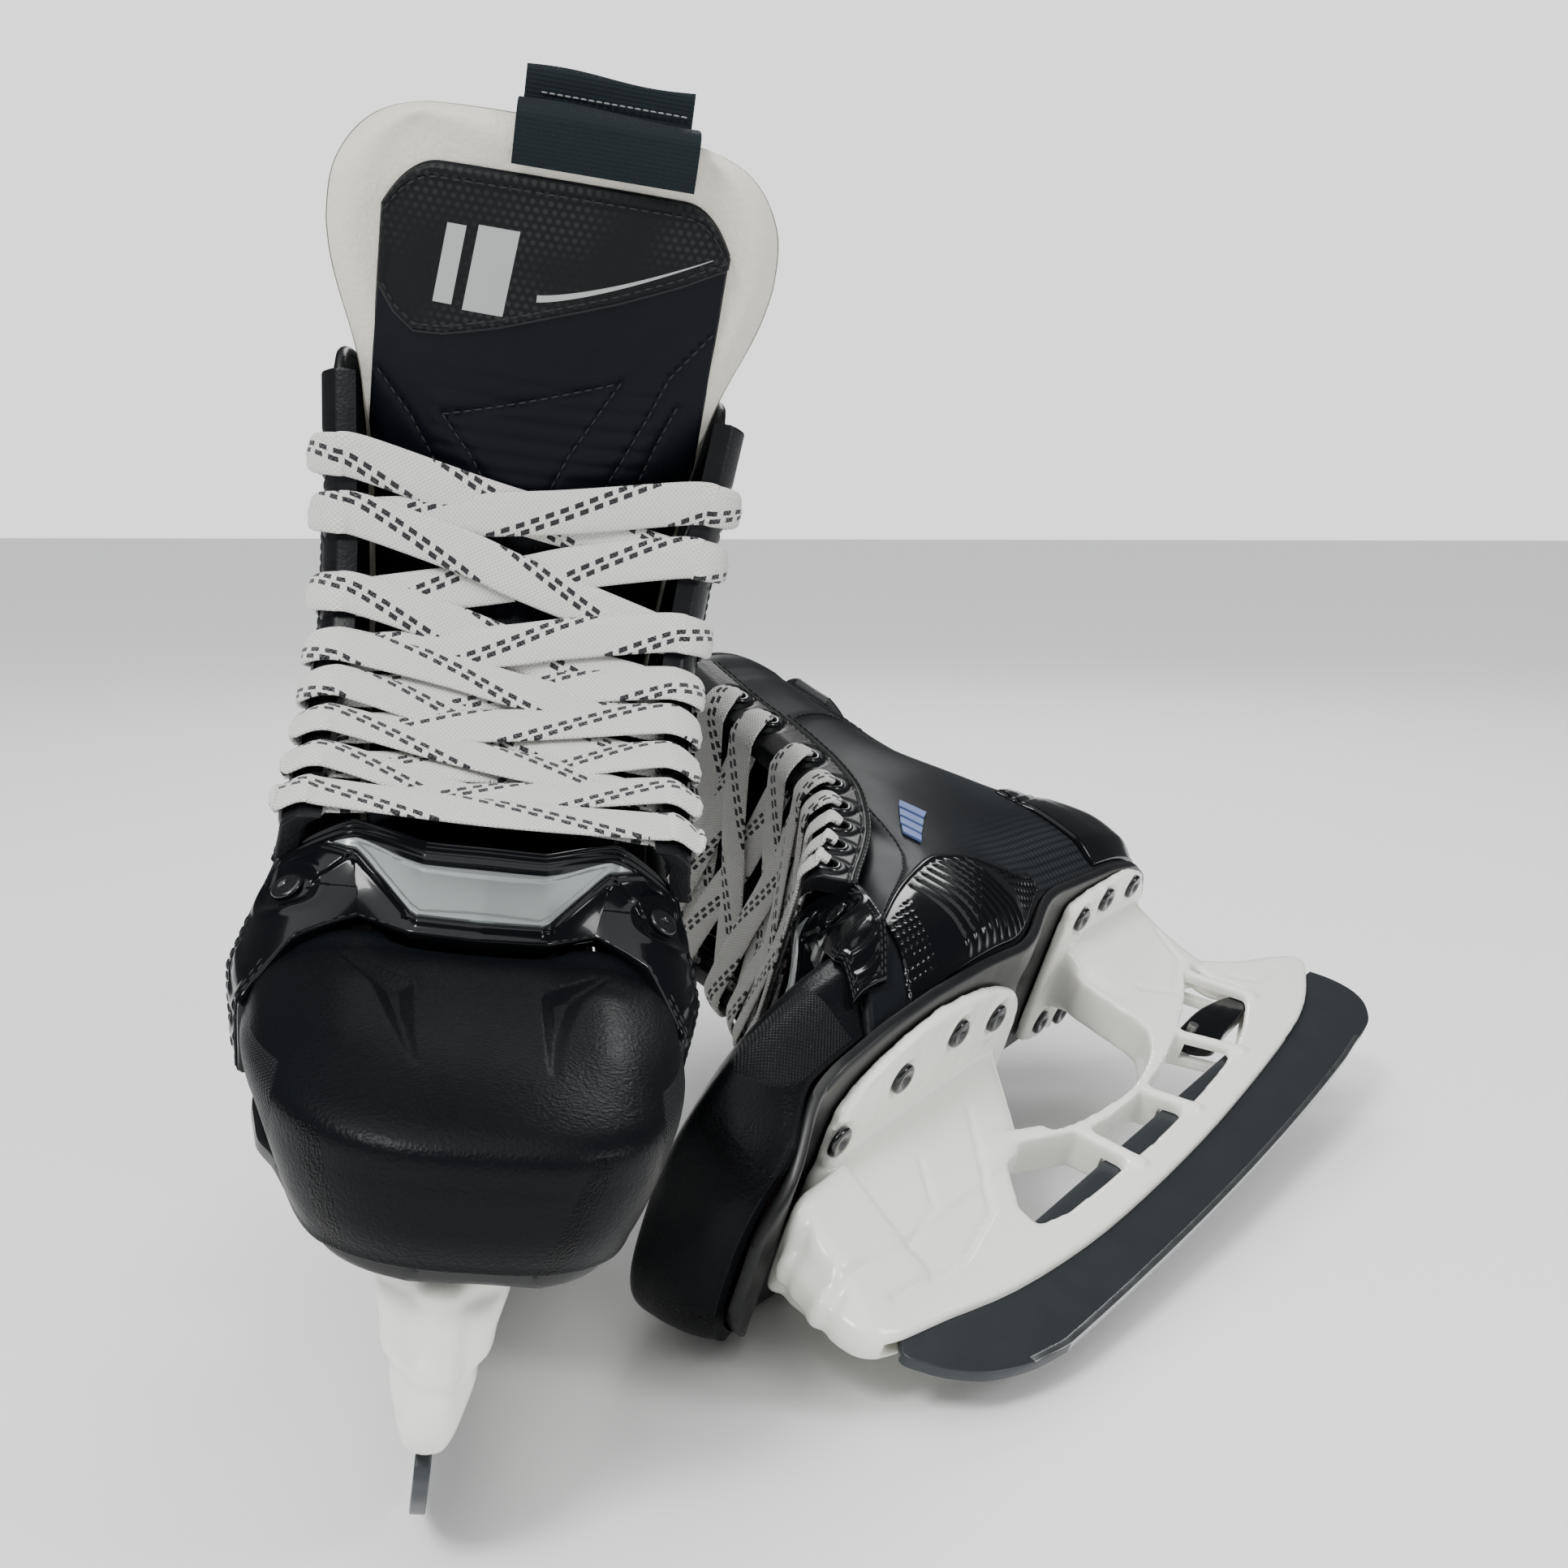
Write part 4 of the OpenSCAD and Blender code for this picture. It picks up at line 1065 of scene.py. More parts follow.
def make_sole(skate):
    lengthways = ends(-121, 140.8, 150, 0.6)
    widths = plan_widths(lengthways)
    for _ in range(3):
        for width in widths:
            width[1:-1] = np.convolve(width, [0.25, 0.5, 0.25], "same")[1:-1]
    mid = ((widths[0] - widths[1]) / 2)[:, None]
    half = ((widths[0] + widths[1]) / 2 + 1.0)[:, None]
    u, x = net(ends(-1, 1, 44, 0.5), lengthways)
    y = mid + half * u
    low = np.stack([x, y, sole_z(x)], -1)
    edge = rounded(low, 1.3)
    # pressed panel in the waist with vent holes
    waist = smooth01((x + 42) / 12) * smooth01((14 - x) / 12)
    low[..., 2] += 0.8 * waist * smooth01((0.72 - np.abs(u)) / 0.1) - edge * 0.8
    for vent_x in (-33, -25, -17, -9, -1):
        for vent_y in (-9, 0, 9):
            r = np.hypot(x - vent_x, y - mid - vent_y)
            low[..., 2] += 0.9 * smooth01((2.4 - r) / 0.9)
    high = np.stack([x, y, sole_z(x) + OUTSOLE_T + edge * 0.4], -1)
    piece = slab("outsole", low, high, skate, M["sole"], "boot")
    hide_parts(skate.node("outsole"))


def make_footbed(skate):
    lengthways = ends(-110, 122, 90, 0.6)
    outer, inner = plan_widths(lengthways)
    mid = ((outer - inner) / 2)[:, None]
    half = np.maximum(1, (outer + inner) / 2 - 8.2)[:, None]
    u, x = net(ends(-1, 1, 34, 0.6), lengthways)
    y = mid + half * u
    base = sole_z(x) + OUTSOLE_T
    top = np.stack([x, y, base + 7.5], -1)
    # rounded edges, a cup for the heel and a slight waviness
    cup = -1.0 * smooth01((-60 - x) / 30) * smooth01((0.8 - np.abs(u)) / 0.5)
    top[..., 2] += rounded(top, 2.5) * 0.8 + cup + 0.09 * np.sin(x / 7)
    low = np.stack([x, y, base + 2.9], -1)
    piece = slab("footbed", top, low, skate, M["foam"], "boot")
    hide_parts(skate.node("footbed"))


# An angular crease on each side of the cap, as x and distance from its middle line
CREASE = [(79, 27), (95, 16.5), (126, 12.5)]


def crease_relief(x, side_y):
    """It comes forwards from the facemask, is deepest at its corner and fades out."""
    rear, rear_k = segment_distance(x, side_y, CREASE[0], CREASE[1])
    fore, fore_k = segment_distance(x, side_y, CREASE[1], CREASE[2])
    depth = np.where(fore < rear, 1 - fore_k, rear_k)
    width = 0.8 + 3.4 * depth
    return (0.4 + 2.5 * depth) * np.clip(1 - np.minimum(rear, fore) / width, 0, 1) ** 0.8


def make_cap(skate):
    turning, level = net(ends(-1, 1, 260, 0.2), ends(0, 8, 130, 0.15))
    p = cap_surface(level, turning)
    x, y, z = p[..., 0], p[..., 1], p[..., 2]
    side_y = np.abs(y + cap_lean(x))
    top = smooth01((z - 84) / 14)
    relief = -crease_relief(x, side_y) * top
    # rounded shoulders outside the creases, and a shallow hollow between them
    relief += 0.9 * bell(side_y - 25, 7) * smooth01((x - 84) / 10) * smooth01(
        (134 - x) / 20) * top
    relief -= 0.9 * smooth01((15 - side_y) / 6) * smooth01((x - 80) / 12) * smooth01(
        (132 - x) / 26) * top
    # soft brow over the front, and a slightly hollow front below it
    front = smooth01((x - 116) / 16)
    brow = 92.0 - 2.5 * (side_y / 40) ** 2
    relief += 0.3 * bell(z - brow - 1.5, 3.5) * front
    relief -= 0.7 * smooth01((brow - z) / 7.0) * smooth01((z - 70) / 12) * front * smooth01(
        (34 - side_y) / 16)
    # the rear edge swells up to meet the facemask
    relief += 1.3 * smooth01((74 - x) / 8) * smooth01((z - 76) / 18)
    # bumper lip at the sole
    relief += 0.5 * bell(level - 0.12, 0.22)
    n = outward(p, (CAP_X, 0, CAP_BASE_Z))
    outer = p + n * (relief + rounded(p, 0.7))[..., None]
    piece = slab("toe_cap", outer, cap_inside(p, 3.0), skate, M["pebble"], "boot")
    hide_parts(skate.node("toe_cap"))


def mask_relief(u, w, p):
    a = np.abs(u)
    relief = np.zeros(u.shape)
    # three ridges along the rear edge
    for line, tall in ((0.93, 0.9), (0.86, 0.75), (0.79, 0.6)):
        relief += tall * bell(w - line, 0.02) * smooth01((3.4 - a) / 0.6)
    # frame round the badge
    side_line = np.abs(a - np.interp(w, BADGE_W, BADGE_HALF) - 0.09) * 13
    low_line = np.abs(w - BADGE_W[0] + 0.04) * 24 + 30 * np.maximum(0, a - BADGE_HALF[0])
    frame_line = np.where(w > BADGE_W[0] - 0.03, np.minimum(side_line, low_line), low_line)
    relief += 0.9 * bell(frame_line, 0.9) * smooth01((0.8 - w) / 0.05)
    # dished pad round each rivet
    for side in (-1, 1):
        r = np.linalg.norm(p - mask_surface(side * MASK_RIVET[0], MASK_RIVET[1]), axis=-1)
        relief += 0.45 * bell(r - 7.2, 1.0) - 0.45 * smooth01((6.2 - r) / 1.6)
    # small three-sided recess in front of each rivet
    recess = smooth01((0.36 - np.abs(w - 0.42) * 2 - (a - 2.0) * 0.45) / 0.06)
    relief -= 0.7 * recess * ((a > 2.0) & (a < 2.75))
    # straps beyond the rivets carry wave ribs
    strap = a - 3.75
    relief += 0.45 * smooth01(strap / 0.15) * np.sin(strap * 16 + 1.2 * np.cos(w * 6)) * smooth01(
        (4.9 - a) / 0.1) * smooth01((w - 0.15) / 0.1) * smooth01((0.85 - w) / 0.1)
    return relief


def make_mask(skate):
    u, w = net(ends(-5, 5, 300, 0.1), ends(0, 1, 80, 0.3))
    p = mask_surface(u, w)
    outer = mask_point(u, w, 2.4 + rounded(p, 1.0) + mask_relief(u, w, p))
    # a lip along the front edge closes on the toe cap
    lip = 4.2 * bell(w, 0.09) * smooth01((3.4 - np.abs(u)) / 0.8)
    piece = slab("facemask", outer, mask_point(u, w, -lip), skate, M["gloss"], "boot")
    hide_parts(skate.node("facemask"))


def make_badge(skate):
    c, f = net(ends(-1, 1, 80, 0.3), ends(0, 1, 40, 0.4))
    w = BADGE_W[0] + (BADGE_W[-1] - BADGE_W[0]) * f
    u = np.interp(w, BADGE_W, BADGE_HALF) * c
    # the upper edge dips between the pointed tips
    w = w - 0.10 * smooth01((1 - np.abs(c)) / 0.45) * f ** 2
    p = mask_surface(u, w)
    bead = 0.35 * smooth01((edge_distance(p) - 2.0) / 0.5)
    outer = mask_point(u, w, 3.15 + rounded(p, 0.5) - bead)
    piece = slab("badge_plate", outer, mask_point(u, w, 2.3), skate, M["plate"], "boot")
    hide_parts(skate.node("facemask_plate"))


def make_mask_stitches(skate):
    front = [mask_point(np.linspace(-3.3, 3.3, 260), 0.035, 2.3)]
    thread = stitches("mask_stitches", front, skate, "boot", M["thread"], *THREAD_FINE)
    strap = np.linspace(3.6, 4.95, 60)
    paths = [mask_point(side * strap, w, 2.45)
             for side in (-1, 1) for w in (0.05, 0.12, 0.88, 0.95)]
    thread = stitches("strap_stitches", paths, skate, "boot", M["thread"], *THREAD_FINE)


def lathe_data(profile, seat, axis, turns=32):
    """Turned solid: profile of (radius, height) points about an axis from the seat."""
    c = np.asarray(axis, float) / np.linalg.norm(axis)
    a = np.cross([0.0, 0, 1] if abs(c[2]) < 0.9 else [1.0, 0, 0], c)
    a /= np.linalg.norm(a)
    b = np.cross(c, a)
    n = len(profile)
    v, f = [], []
    for k in range(turns):
        t = 2 * math.pi * k / turns
        m = ((k + 1) % turns) * n
        for i, (r, h) in enumerate(profile):
            v.append(seat + (a * math.cos(t) + b * math.sin(t)) * max(r, 0.01) + c * h)
            f.append((k * n + i, k * n + (i + 1) % n, m + (i + 1) % n, m + i))
    return np.array(v), f


MASK_RIVET_PROFILE = [(0.02, 0.62), (2.6, 0.62), (3.2, 0.55), (3.5, 0.3), (3.6, -0.25),
                      (3.0, -0.45), (0.02, -0.45)]
EYELET_PROFILE = [(2.62, -1.4), (2.62, 1.3), (2.9, 1.75), (3.4, 1.95), (3.95, 1.75),
                  (4.3, 1.25), (4.35, 0.95), (3.25, 0.95), (3.25, -1.4)]
EYELET_HOLE = [(3.3, -6), (3.3, 6), (0.02, 6), (0.02, -6)]


def make_mask_rivets(skate):
    parts = []
    for side in (-1, 1):
        u, w = side * MASK_RIVET[0], MASK_RIVET[1]
        seat = mask_point(u, w, 2.4)
        parts.append(lathe_data(MASK_RIVET_PROFILE, seat, mask_point(u, w, 3.4) - seat, 40))
    piece = fix_normals(link("mask_rivets", *joined(parts), skate, M["rivet"], "boot"))
    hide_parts(skate.node("facemask_rivets"))


def cut(piece, cutter, solver):
    """Takes the cutter's solid out of an object, and removes the cutter."""
    m = piece.modifiers.new("cut", "BOOLEAN")
    m.operation = "DIFFERENCE"
    m.object = cutter
    m.solver = solver
    apply_modifiers(piece)
    bpy.data.objects.remove(cutter, do_unlink=True)


def apply_modifiers(piece):
    graph = bpy.context.evaluated_depsgraph_get()
    mesh = bpy.data.meshes.new_from_object(piece.evaluated_get(graph))
    old = piece.data
    piece.modifiers.clear()
    piece.data = mesh
    mesh.name = piece.name
    bpy.data.meshes.remove(old)


def make_eyestay(skate, side, name):
    w, k = net(ends(-1, 1, 46, 0.3), np.linspace(0, 9, 300))
    base = stay_point(k, w, 0.0)
    across = stay_reach(k, w)
    relief = np.zeros(k.shape)
    # pressed oval round each eyelet
    for e in EYELETS:
        r = np.hypot((base - stay_place(e)) @ stay_up(e), across / 1.15)
        relief += 0.25 * smooth01((5.0 - r) / 0.8) - 0.5 * bell(r - 5.6, 0.55)
    # pressed lines along the rear edge
    for line in (-8.3, -6.9):
        relief -= 0.4 * bell(across - line, 0.4)
    sideways = np.array([0, 1, 0])
    lift = 1.8 + rounded(base, 0.8) + relief
    deep = 0.6 + 2.4 * np.maximum(smooth01((k - 3.5) / 2), smooth01((1.6 - k) / 1.2))
    turned = np.array([1, side, 1])
    outer = (base + sideways * lift[..., None]) * turned
    inner = (base - sideways * deep[..., None]) * turned
    piece = slab("eyestay_" + name, outer, inner, skate, M["stay"], None)
    holes = joined([lathe_data(EYELET_HOLE, stay_place(e) * turned, (0, side, 0), 24)
                    for e in EYELETS])
    cut(piece, fix_normals(link("cutter", *holes, skate, M["stay"], None)), "EXACT")
    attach(piece, skate.node("boot"))
    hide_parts(skate.node("eyestay_" + name))
    k = np.linspace(0.15, 8.9, 500)
    paths = [stay_point(k, w, 1.72) * turned for w in (-0.93, -0.67)]
    thread = stitches("eyestay_stitches_" + name, paths, skate, "boot", M["thread"], 1.9, 1.0, 0.25)


def make_eyestays(skate):
    for side, name in ((1, "outer"), (-1, "inner")):
        make_eyestay(skate, side, name)


def make_eyelets(skate):
    parts = [lathe_data(EYELET_PROFILE, (stay_place(e) + [0, 0.9, 0]) * [1, side, 1],
                        (0, side, 0), 30) for side in (1, -1) for e in EYELETS]
    piece = fix_normals(link("eyelets", *joined(parts), skate, M["rivet"], "boot"))
    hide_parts(skate.node("eyelets"))


def guard_point(turn, rise, out, gusset=False):
    """Point of the tendon guard: turn from -1 to 1 round the heel, rise from 0 to 1."""
    ang = np.radians(52 * turn)
    if gusset:
        z, back = 202 + 10 * turn ** 2 + 15 * rise, 0
    else:
        low, high = 210.5 + 11 * turn ** 2, 252 - 14 * np.abs(turn) ** 3
        z = low + (high - low) * rise
        back = 4 * smooth01((z - 215) / 40)
    return np.stack([-76 - back - (29.5 + out) * np.cos(ang), (30.5 + out) * np.sin(ang), z], -1)


def make_guard(skate):
    turn, rise = net(ends(-1, 1, 110, 0.3), ends(0, 1, 70, 0.4))
    relief = np.zeros(turn.shape)
    for line in (0.25, 0.4, 0.55, 0.7):
        relief -= 0.6 * bell(rise - line, 0.018) * smooth01((0.75 - np.abs(turn)) / 0.1)
    edge = rounded(guard_point(turn, rise, 0), 2.2)
    outer = guard_point(turn, rise, 4.5 + edge * 0.8 + relief)
    piece = slab("tendon_guard", outer, guard_point(turn, rise, -edge * 0.6), skate, M["guard"],
              "tendon")
    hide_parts(skate.node("tendon_guard"))
    path = guard_point(np.linspace(-0.93, 0.93, 120), 0.9, 4.5)
    thread = stitches("guard_stitches", [path], skate, "tendon", M["thread"])


def make_gusset(skate):
    """Soft gusset that joins the tendon guard to the top edge of the boot."""
    turn, rise = net(ends(-0.9, 0.9, 90, 0.3), ends(0, 1, 24, 0.3))
    fold = 0.5 * np.sin(rise * 12)
    piece = slab("guard_gusset", guard_point(turn, rise, 0.6 + fold, True),
              guard_point(turn, rise, -1.6 + fold, True), skate, M["stay"], None)
    start, end = skate.put([[-105.5, 0, 207.5], [-105.5, 0, 213]])
    skate.node("boot")
    skate.node("tendon")
    tuple(start)
    tuple(end)
    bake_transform(piece)


# ---- Tongue --------------------------------------------------------------------------------


def lumps(p, scale, seed):
    """Smooth waves in space that stand for uneven stuffing, from -1 to 1."""
    rng = np.random.RandomState(seed)
    out = np.zeros(p.shape[:-1])
    for _ in range(7):
        d = rng.normal(size=3)
        out += np.sin(p @ (d / np.linalg.norm(d)) / scale * rng.uniform(0.6, 1.6)
                      + rng.uniform(0, 6.28))
    return out / 7


def face_top(y):
    """Upper end of the dark face: nearly level, with rounded corners."""
    a = np.abs(y + 0.5)
    return 14.22 - 0.05 * (a / 40) ** 2 - 0.95 * np.clip((a - 27) / 15.5, 0, 1) ** 2.6


PANEL_LOW = np.array([[-42, 13.3], [-30, 12.9], [-15.5, 12.5], [0, 12.13], [11, 11.86],
                      [24, 11.6], [31, 11.55], [36, 11.8], [41, 12.3]])


def blend_tongue(piece, skate):
    start = skate.put(tongue_point(8.7, 0.0, 6.0))[0]
    end = skate.put(tongue_point(10.6, 0.0, 6.0))[0]
    skate.node("boot")
    skate.node("tongue")
    tuple(start)
    tuple(end)
    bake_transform(piece)


def make_felt(skate):
    """A thick cushion with round edges, in front of and behind the tongue's line."""
    u, f = net(ends(-1, 1, 90, 0.5), ends(0, 1, 210, 0.25))
    t = 2.5 + f * 12.5
    # the top is a rounded arch, so its corners are drawn with a power curve
    arch = (1 - np.clip((t - 12.9) / 2.25, 0, 1) ** 3.4) ** (1 / 3.0)
    wide = tongue_value(2, np.minimum(t, 13)) + 2.4 * smooth01((t - 10.5) / 2)
    y = u * wide * arch
    back = 8 + 6 * smooth01((t - 8.5) / 2)
    place = t - 0.12 * np.abs(u) ** 3 * smooth01((t - 12) / 3)
    front = tongue_point(place, y, 2.1)
    edge = rounded(front, 6.5)
    uneven = lumps(front, 13.0, 5) * 0.5 + lumps(front, 4.0, 6) * 0.18
    rim = 1.6 * bell(edge_distance(front) - 7, 4.5) * smooth01((t - 10) / 2)
    puff = tongue_point(place, y, 2.4 - edge - rim + uneven * 0.5)
    hind = tongue_point(place, y, back + edge - uneven * 0.5 - 0.2)
    piece = slab("tongue_felt", puff, hind, skate, M["felt"], None, angle=80)
    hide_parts(skate.node("tongue_felt"), skate.node("tongue_base"))
    blend_tongue(piece, skate)


def make_tongue_face(skate):
    """Dark synthetic face with pressed ribs and sewn lines."""
    y, f = net(ends(-41, 40.5, 110, 0.3), ends(0, 1, 240, 0.15))
    t = f * face_top(y)
    y = y * np.minimum(1.0, (tongue_value(2, t) - 1.0) / 41.0)
    up = t * TONGUE_STEP
    relief = 0.42 * np.abs(np.sin(up * math.pi / 4.6)) ** 0.55
    relief *= smooth01((11.6 - t) / 0.5) * smooth01((29 - np.abs(y + 2)) / 3)
    for line in SEAMS:
        points = [(a, b * TONGUE_STEP) for a, b in line]
        relief -= 0.55 * bell(line_distance(y, up, points), 0.9)
    edge = rounded(tongue_point(t, y, 0.0), 1.0)
    outer = tongue_point(t, y, 0.55 - edge - relief)
    piece = slab("tongue_face", outer, tongue_point(t, y, 2.6), skate, M["tongue"], None)
    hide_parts(skate.node("tongue_face"))
    blend_tongue(piece, skate)


def panel_low(y):
    return np.interp(y, PANEL_LOW[:, 0], PANEL_LOW[:, 1])


def make_tongue_panel(skate):
    """Printed panel with a low welt round it, and a worn line along its lower edge."""
    y, f = net(ends(-41.2, 40.3, 120, 0.3), ends(0, 1, 70, 0.3))
    low, high = panel_low(y), face_top(y) - 0.03
    t = low + (high - low) * f
    p = tongue_point(t, y, 0.0)
    distance = np.minimum(np.minimum(high - t, t - low) * TONGUE_STEP, edge_distance(p))
    welt = 0.55 * bell(distance - 1.3, 0.9)
    outer = tongue_point(t, y, 0.15 - rounded(p, 0.5) - welt)
    piece = slab("tongue_panel", outer, tongue_point(t, y, 1.0), skate, M["panel"], "tongue",
              uv={"face": np.stack([y, t * TONGUE_STEP], -1)})
    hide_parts(skate.node("tongue_panel"))
    y = np.linspace(-40.5, 39.5, 260)
    low = panel_low(y)
    edge = tube_data(tongue_point(low + 0.015, y, 0.35), 0.42, 8)
    piece = link("panel_edge", *edge, skate, M["thread"], "tongue")
    paths = [tongue_point(low + 0.13, y, -0.2), tongue_point(face_top(y) - 0.2, y, -0.2)]
    thread = stitches("panel_stitches", paths, skate, "tongue", M["thread"], 1.9, 1.3, 0.27)


def make_tongue_stitches(skate):
    paths = []
    for line in SEAMS:
        p = resample([(a, b * TONGUE_STEP) for a, b in line], 0.5)
        paths.append(tongue_point(p[:, 1] / TONGUE_STEP, p[:, 0], 0.3))
    thread = stitches("tongue_stitches", paths, skate, None, M["thread"], 1.9, 1.3, 0.24)
    blend_tongue(thread, skate)


def make_tongue_print(skate):
    """Two plain silver bars and a thin curved line, in place of the real skate's marks."""
    parts = []
    for right, left, low, high in ((27, 22.6, 12.1, 13.35), (20, 10.5, 12.05, 13.4)):
        y, t = net(ends(left, right, 12, 0.5), ends(low, high, 16, 0.5))
        y = y - 1.6 * (t - low)
        parts.append(slab_data(tongue_point(t, y, 0.02), tongue_point(t, y, 0.4)))
    k = np.linspace(0, 1, 60)[:, None]
    half_width = 0.05 * (1 - k) + 0.006
    y, t = 3 - 40 * k, 12.42 + 0.98 * k ** 1.3 + half_width * [-1, 1]
    parts.append(slab_data(tongue_point(t, y, 0.0), tongue_point(t, y, 0.4)))
    piece = fix_normals(link("panel_badge", *joined(parts), skate, M["silver"], "tongue", angle=40))


# Sewn lines on the face, as points of y and t
SEAMS = [
    [(22.5, 10.3), (-19.3, 11.25)],
    [(-19.3, 11.25), (-9, 9.95), (-4, 9.0), (-3, 7.6), (-8, 6.2)],
    [(22.5, 10.3), (15, 9.7), (8, 8.9), (3.5, 7.9), (1, 7.0)],
    [(39, 10.8), (30, 10.15), (22, 9.3), (14, 8.3), (6, 7.0)],
    [(-40, 12.2), (-31, 11.4), (-27, 10.7), (-22, 9.9), (-14, 8.6), (-9, 7.4)],
    [(-34, 10.9), (-30, 10.2), (-26, 9.3), (-20, 8.0)],
]

LABEL_Y = (-30.0, 12.0)
RIBBON_T = 0.7


def ribbon_slab(name, line, y0, y1, wave, skate):
    """Woven ribbon along a line of x, z points, and its length."""
    p = resample(spline(line, 10), 0.6)
    d = np.gradient(p, axis=0)
    d /= np.linalg.norm(d, axis=1, keepdims=True)
    y, k = net(ends(y0, y1, 44, 0.2), np.linspace(0, 1, len(p)))
    off = wave(k, (y - y0) / (y1 - y0))

    def face(lift):
        return np.stack([p[:, :1] - d[:, 1:] * lift, y, p[:, 1:] + d[:, :1] * lift], -1)

    run = length_along(p)
    uv = np.stack([y, np.broadcast_to(run[:, None], y.shape)], -1)
    piece = slab(name, face(off + RIBBON_T / 2), face(off - RIBBON_T / 2), skate, M["ribbon"],
                 "tongue", uv={"weave": uv})
    return piece, run[-1]


def make_label(skate):
    line = [(19.6, 276.5), (21.2, 280.5), (22.4, 285.0), (22.6, 287.4), (20.6, 289.6),
            (14.5, 291.8), (8.6, 292.6), (5.2, 288.0), (3.4, 282.0), (2.2, 276.2)]
    piece, length = ribbon_slab("tongue_label", line, LABEL_Y[0], LABEL_Y[1],
                             lambda k, u: 0.5 * np.sin(u * 5 + 1) * np.sin(k * 3.1) ** 2, skate)
    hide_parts(skate.node("tongue_label"))
    skate.node("tongue_felt")
    line = [(7.4, 291.0), (7.9, 294.5), (8.5, 299.8), (8.0, 301.0), (7.2, 299.8), (6.6, 294.5),
            (6.4, 290.5)]
    piece, length = ribbon_slab("label_loop", line, LABEL_Y[0] + 1.5, LABEL_Y[1] - 1.0,
                             lambda k, u: 0.55 * np.sin(u * 6.0) * np.sin(k * 3.1), skate)
    skate.node("tongue_label")
    path = [(9.0, y, 295.4) for y in np.linspace(LABEL_Y[0] + 3, LABEL_Y[1] - 4, 80)]
    thread = stitches("label_stitches", [path], skate, "tongue", M["thread_pale"], 1.6, 0.8, 0.25)


# ---- Lace ----------------------------------------------------------------------------------

LACE_W, LACE_T = 10.2, 1.5


def over_eyestay(k, side):
    """Where a strand folds round the front edge of the eyestay into its eyelet."""
    p, o, r = stay_place(k), stay_out(k), float(stay_front(k))
    y = p[1]
    pts = [(y - 8.5, r + 1.2), (y - 2, r + 1.7), (y + 3, r - 1.4), (y + 4.4, 3.0), (y + 3.2, 0)]
    return [np.array([p[0], side * a, p[2]]) + o * b for a, b in pts]


def strand(k, side, over):
    """Route from under the eyestay at eyelet k across the tongue to the next one opposite."""
    a, m = stay_place(k), stay_place(k + 0.5)
    low, high = stay_place(k + 0.32), stay_place(k + 0.7)
    edge = stay_out(k) * float(stay_front(k))
    middle = stay_out(k + 0.5) * float(stay_front(k + 0.5))
    lift = stay_out(k + 0.5) * over

    def at(p, y, extra):
        return np.array([p[0], y, p[2]]) + extra

    return ([at(a, side * (a[1] - 3.5), 0), at(a, side * (a[1] - 6), edge * 0.5),
             at(a, side * (a[1] - 9), edge * 0.85), at(low, side * 14, middle * 0.78 + lift * 0.6),
             at(m, 0, middle * 0.76 + lift), at(high, -side * 14, middle * 0.92 + lift * 0.6)]
            + over_eyestay(k + 1, -side))


# Share of the lace's full width at each point of its routes
STRAND_W = [0.36, 0.6, 0.95, 1.05, 1.07, 1.07, 1.05, 1.02, 0.95, 0.68, 0.4]
LOW_W = [0.4, 0.68, 0.95, 1, 1, 1, 1, 1, 0.95, 0.68, 0.4]


def band_data(path, widths, across, start_along):
    """Flat lace along a route, its weave map, and its length."""
    sides = 24
    p = spline(path, 9)
    count = len(p)
    w = np.interp(np.linspace(0, len(widths) - 1, count), range(len(widths)), widths)
    t = np.gradient(p, axis=0)
    t /= np.linalg.norm(t, axis=1, keepdims=True)
    wide = across - t * (t @ across)[:, None]
    wide /= np.linalg.norm(wide, axis=1, keepdims=True)
    n = np.cross(t, wide)
    if n[count // 2][0] + n[count // 2][2] < 0:
        n = -n
    ang = np.linspace(0, 2 * math.pi, sides, endpoint=False)
    cx = (np.sign(np.cos(ang)) * np.abs(np.cos(ang)) ** 0.7)[None]
    cy = (np.sign(np.sin(ang)) * np.abs(np.sin(ang)) ** 0.8)[None]
    # a gathered lace is thicker and rolls up a little
    gathered = (1 - w)[:, None]
    thick = LACE_T / 2 * (1 + 0.9 * gathered) * 0.95
    rise = cy * thick + gathered * 0.5 * np.cos(cx * 7.0) - 0.25 * cx ** 2
    v = (p[:, None] + wide[:, None] * (cx * (w * LACE_W / 2)[:, None])[..., None]
         + n[:, None] * rise[..., None])
    run = length_along(p)
    uv = np.stack([np.broadcast_to(cx * LACE_W / 2, (count, sides)),
                   np.broadcast_to(run[:, None] + start_along, (count, sides))], -1)
    return v.reshape(-1, 3), loft_faces(count, sides), uv.reshape(-1, 2), run[-1]


def make_lace(skate):
    parts, uvs, total = [], [], 0.0
    routes = []
    for side in (-1, 1):
        for k in range(1, 8):
            turned, over = (side, 1.1) if k % 2 else (-side, -1.1)
            routes.append((strand(k, turned, turned * over), STRAND_W, stay_up(k + 0.5)))
    # the lowest strand goes straight across
    m = stay_place(0.9) + stay_out(1) * (float(stay_front(1)) + 1)
    low = over_eyestay(1, -1)[::-1] + [np.array([m[0], 0, m[2]])] + over_eyestay(1, 1)
    routes.append((low, LOW_W, stay_up(1)))
    for path, widths, across in routes:
        v, f, uv, run = band_data(path, widths, across, total)
        parts.append((v, f))
        uvs.append(uv)
        total += run + 3
    weave = {"weave": np.concatenate(uvs)}
    piece = fix_normals(link("lace", *joined(parts), skate, M["lace"], "boot", weave))
    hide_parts(skate.node("lace"))


# ---- Holder --------------------------------------------------------------------------------

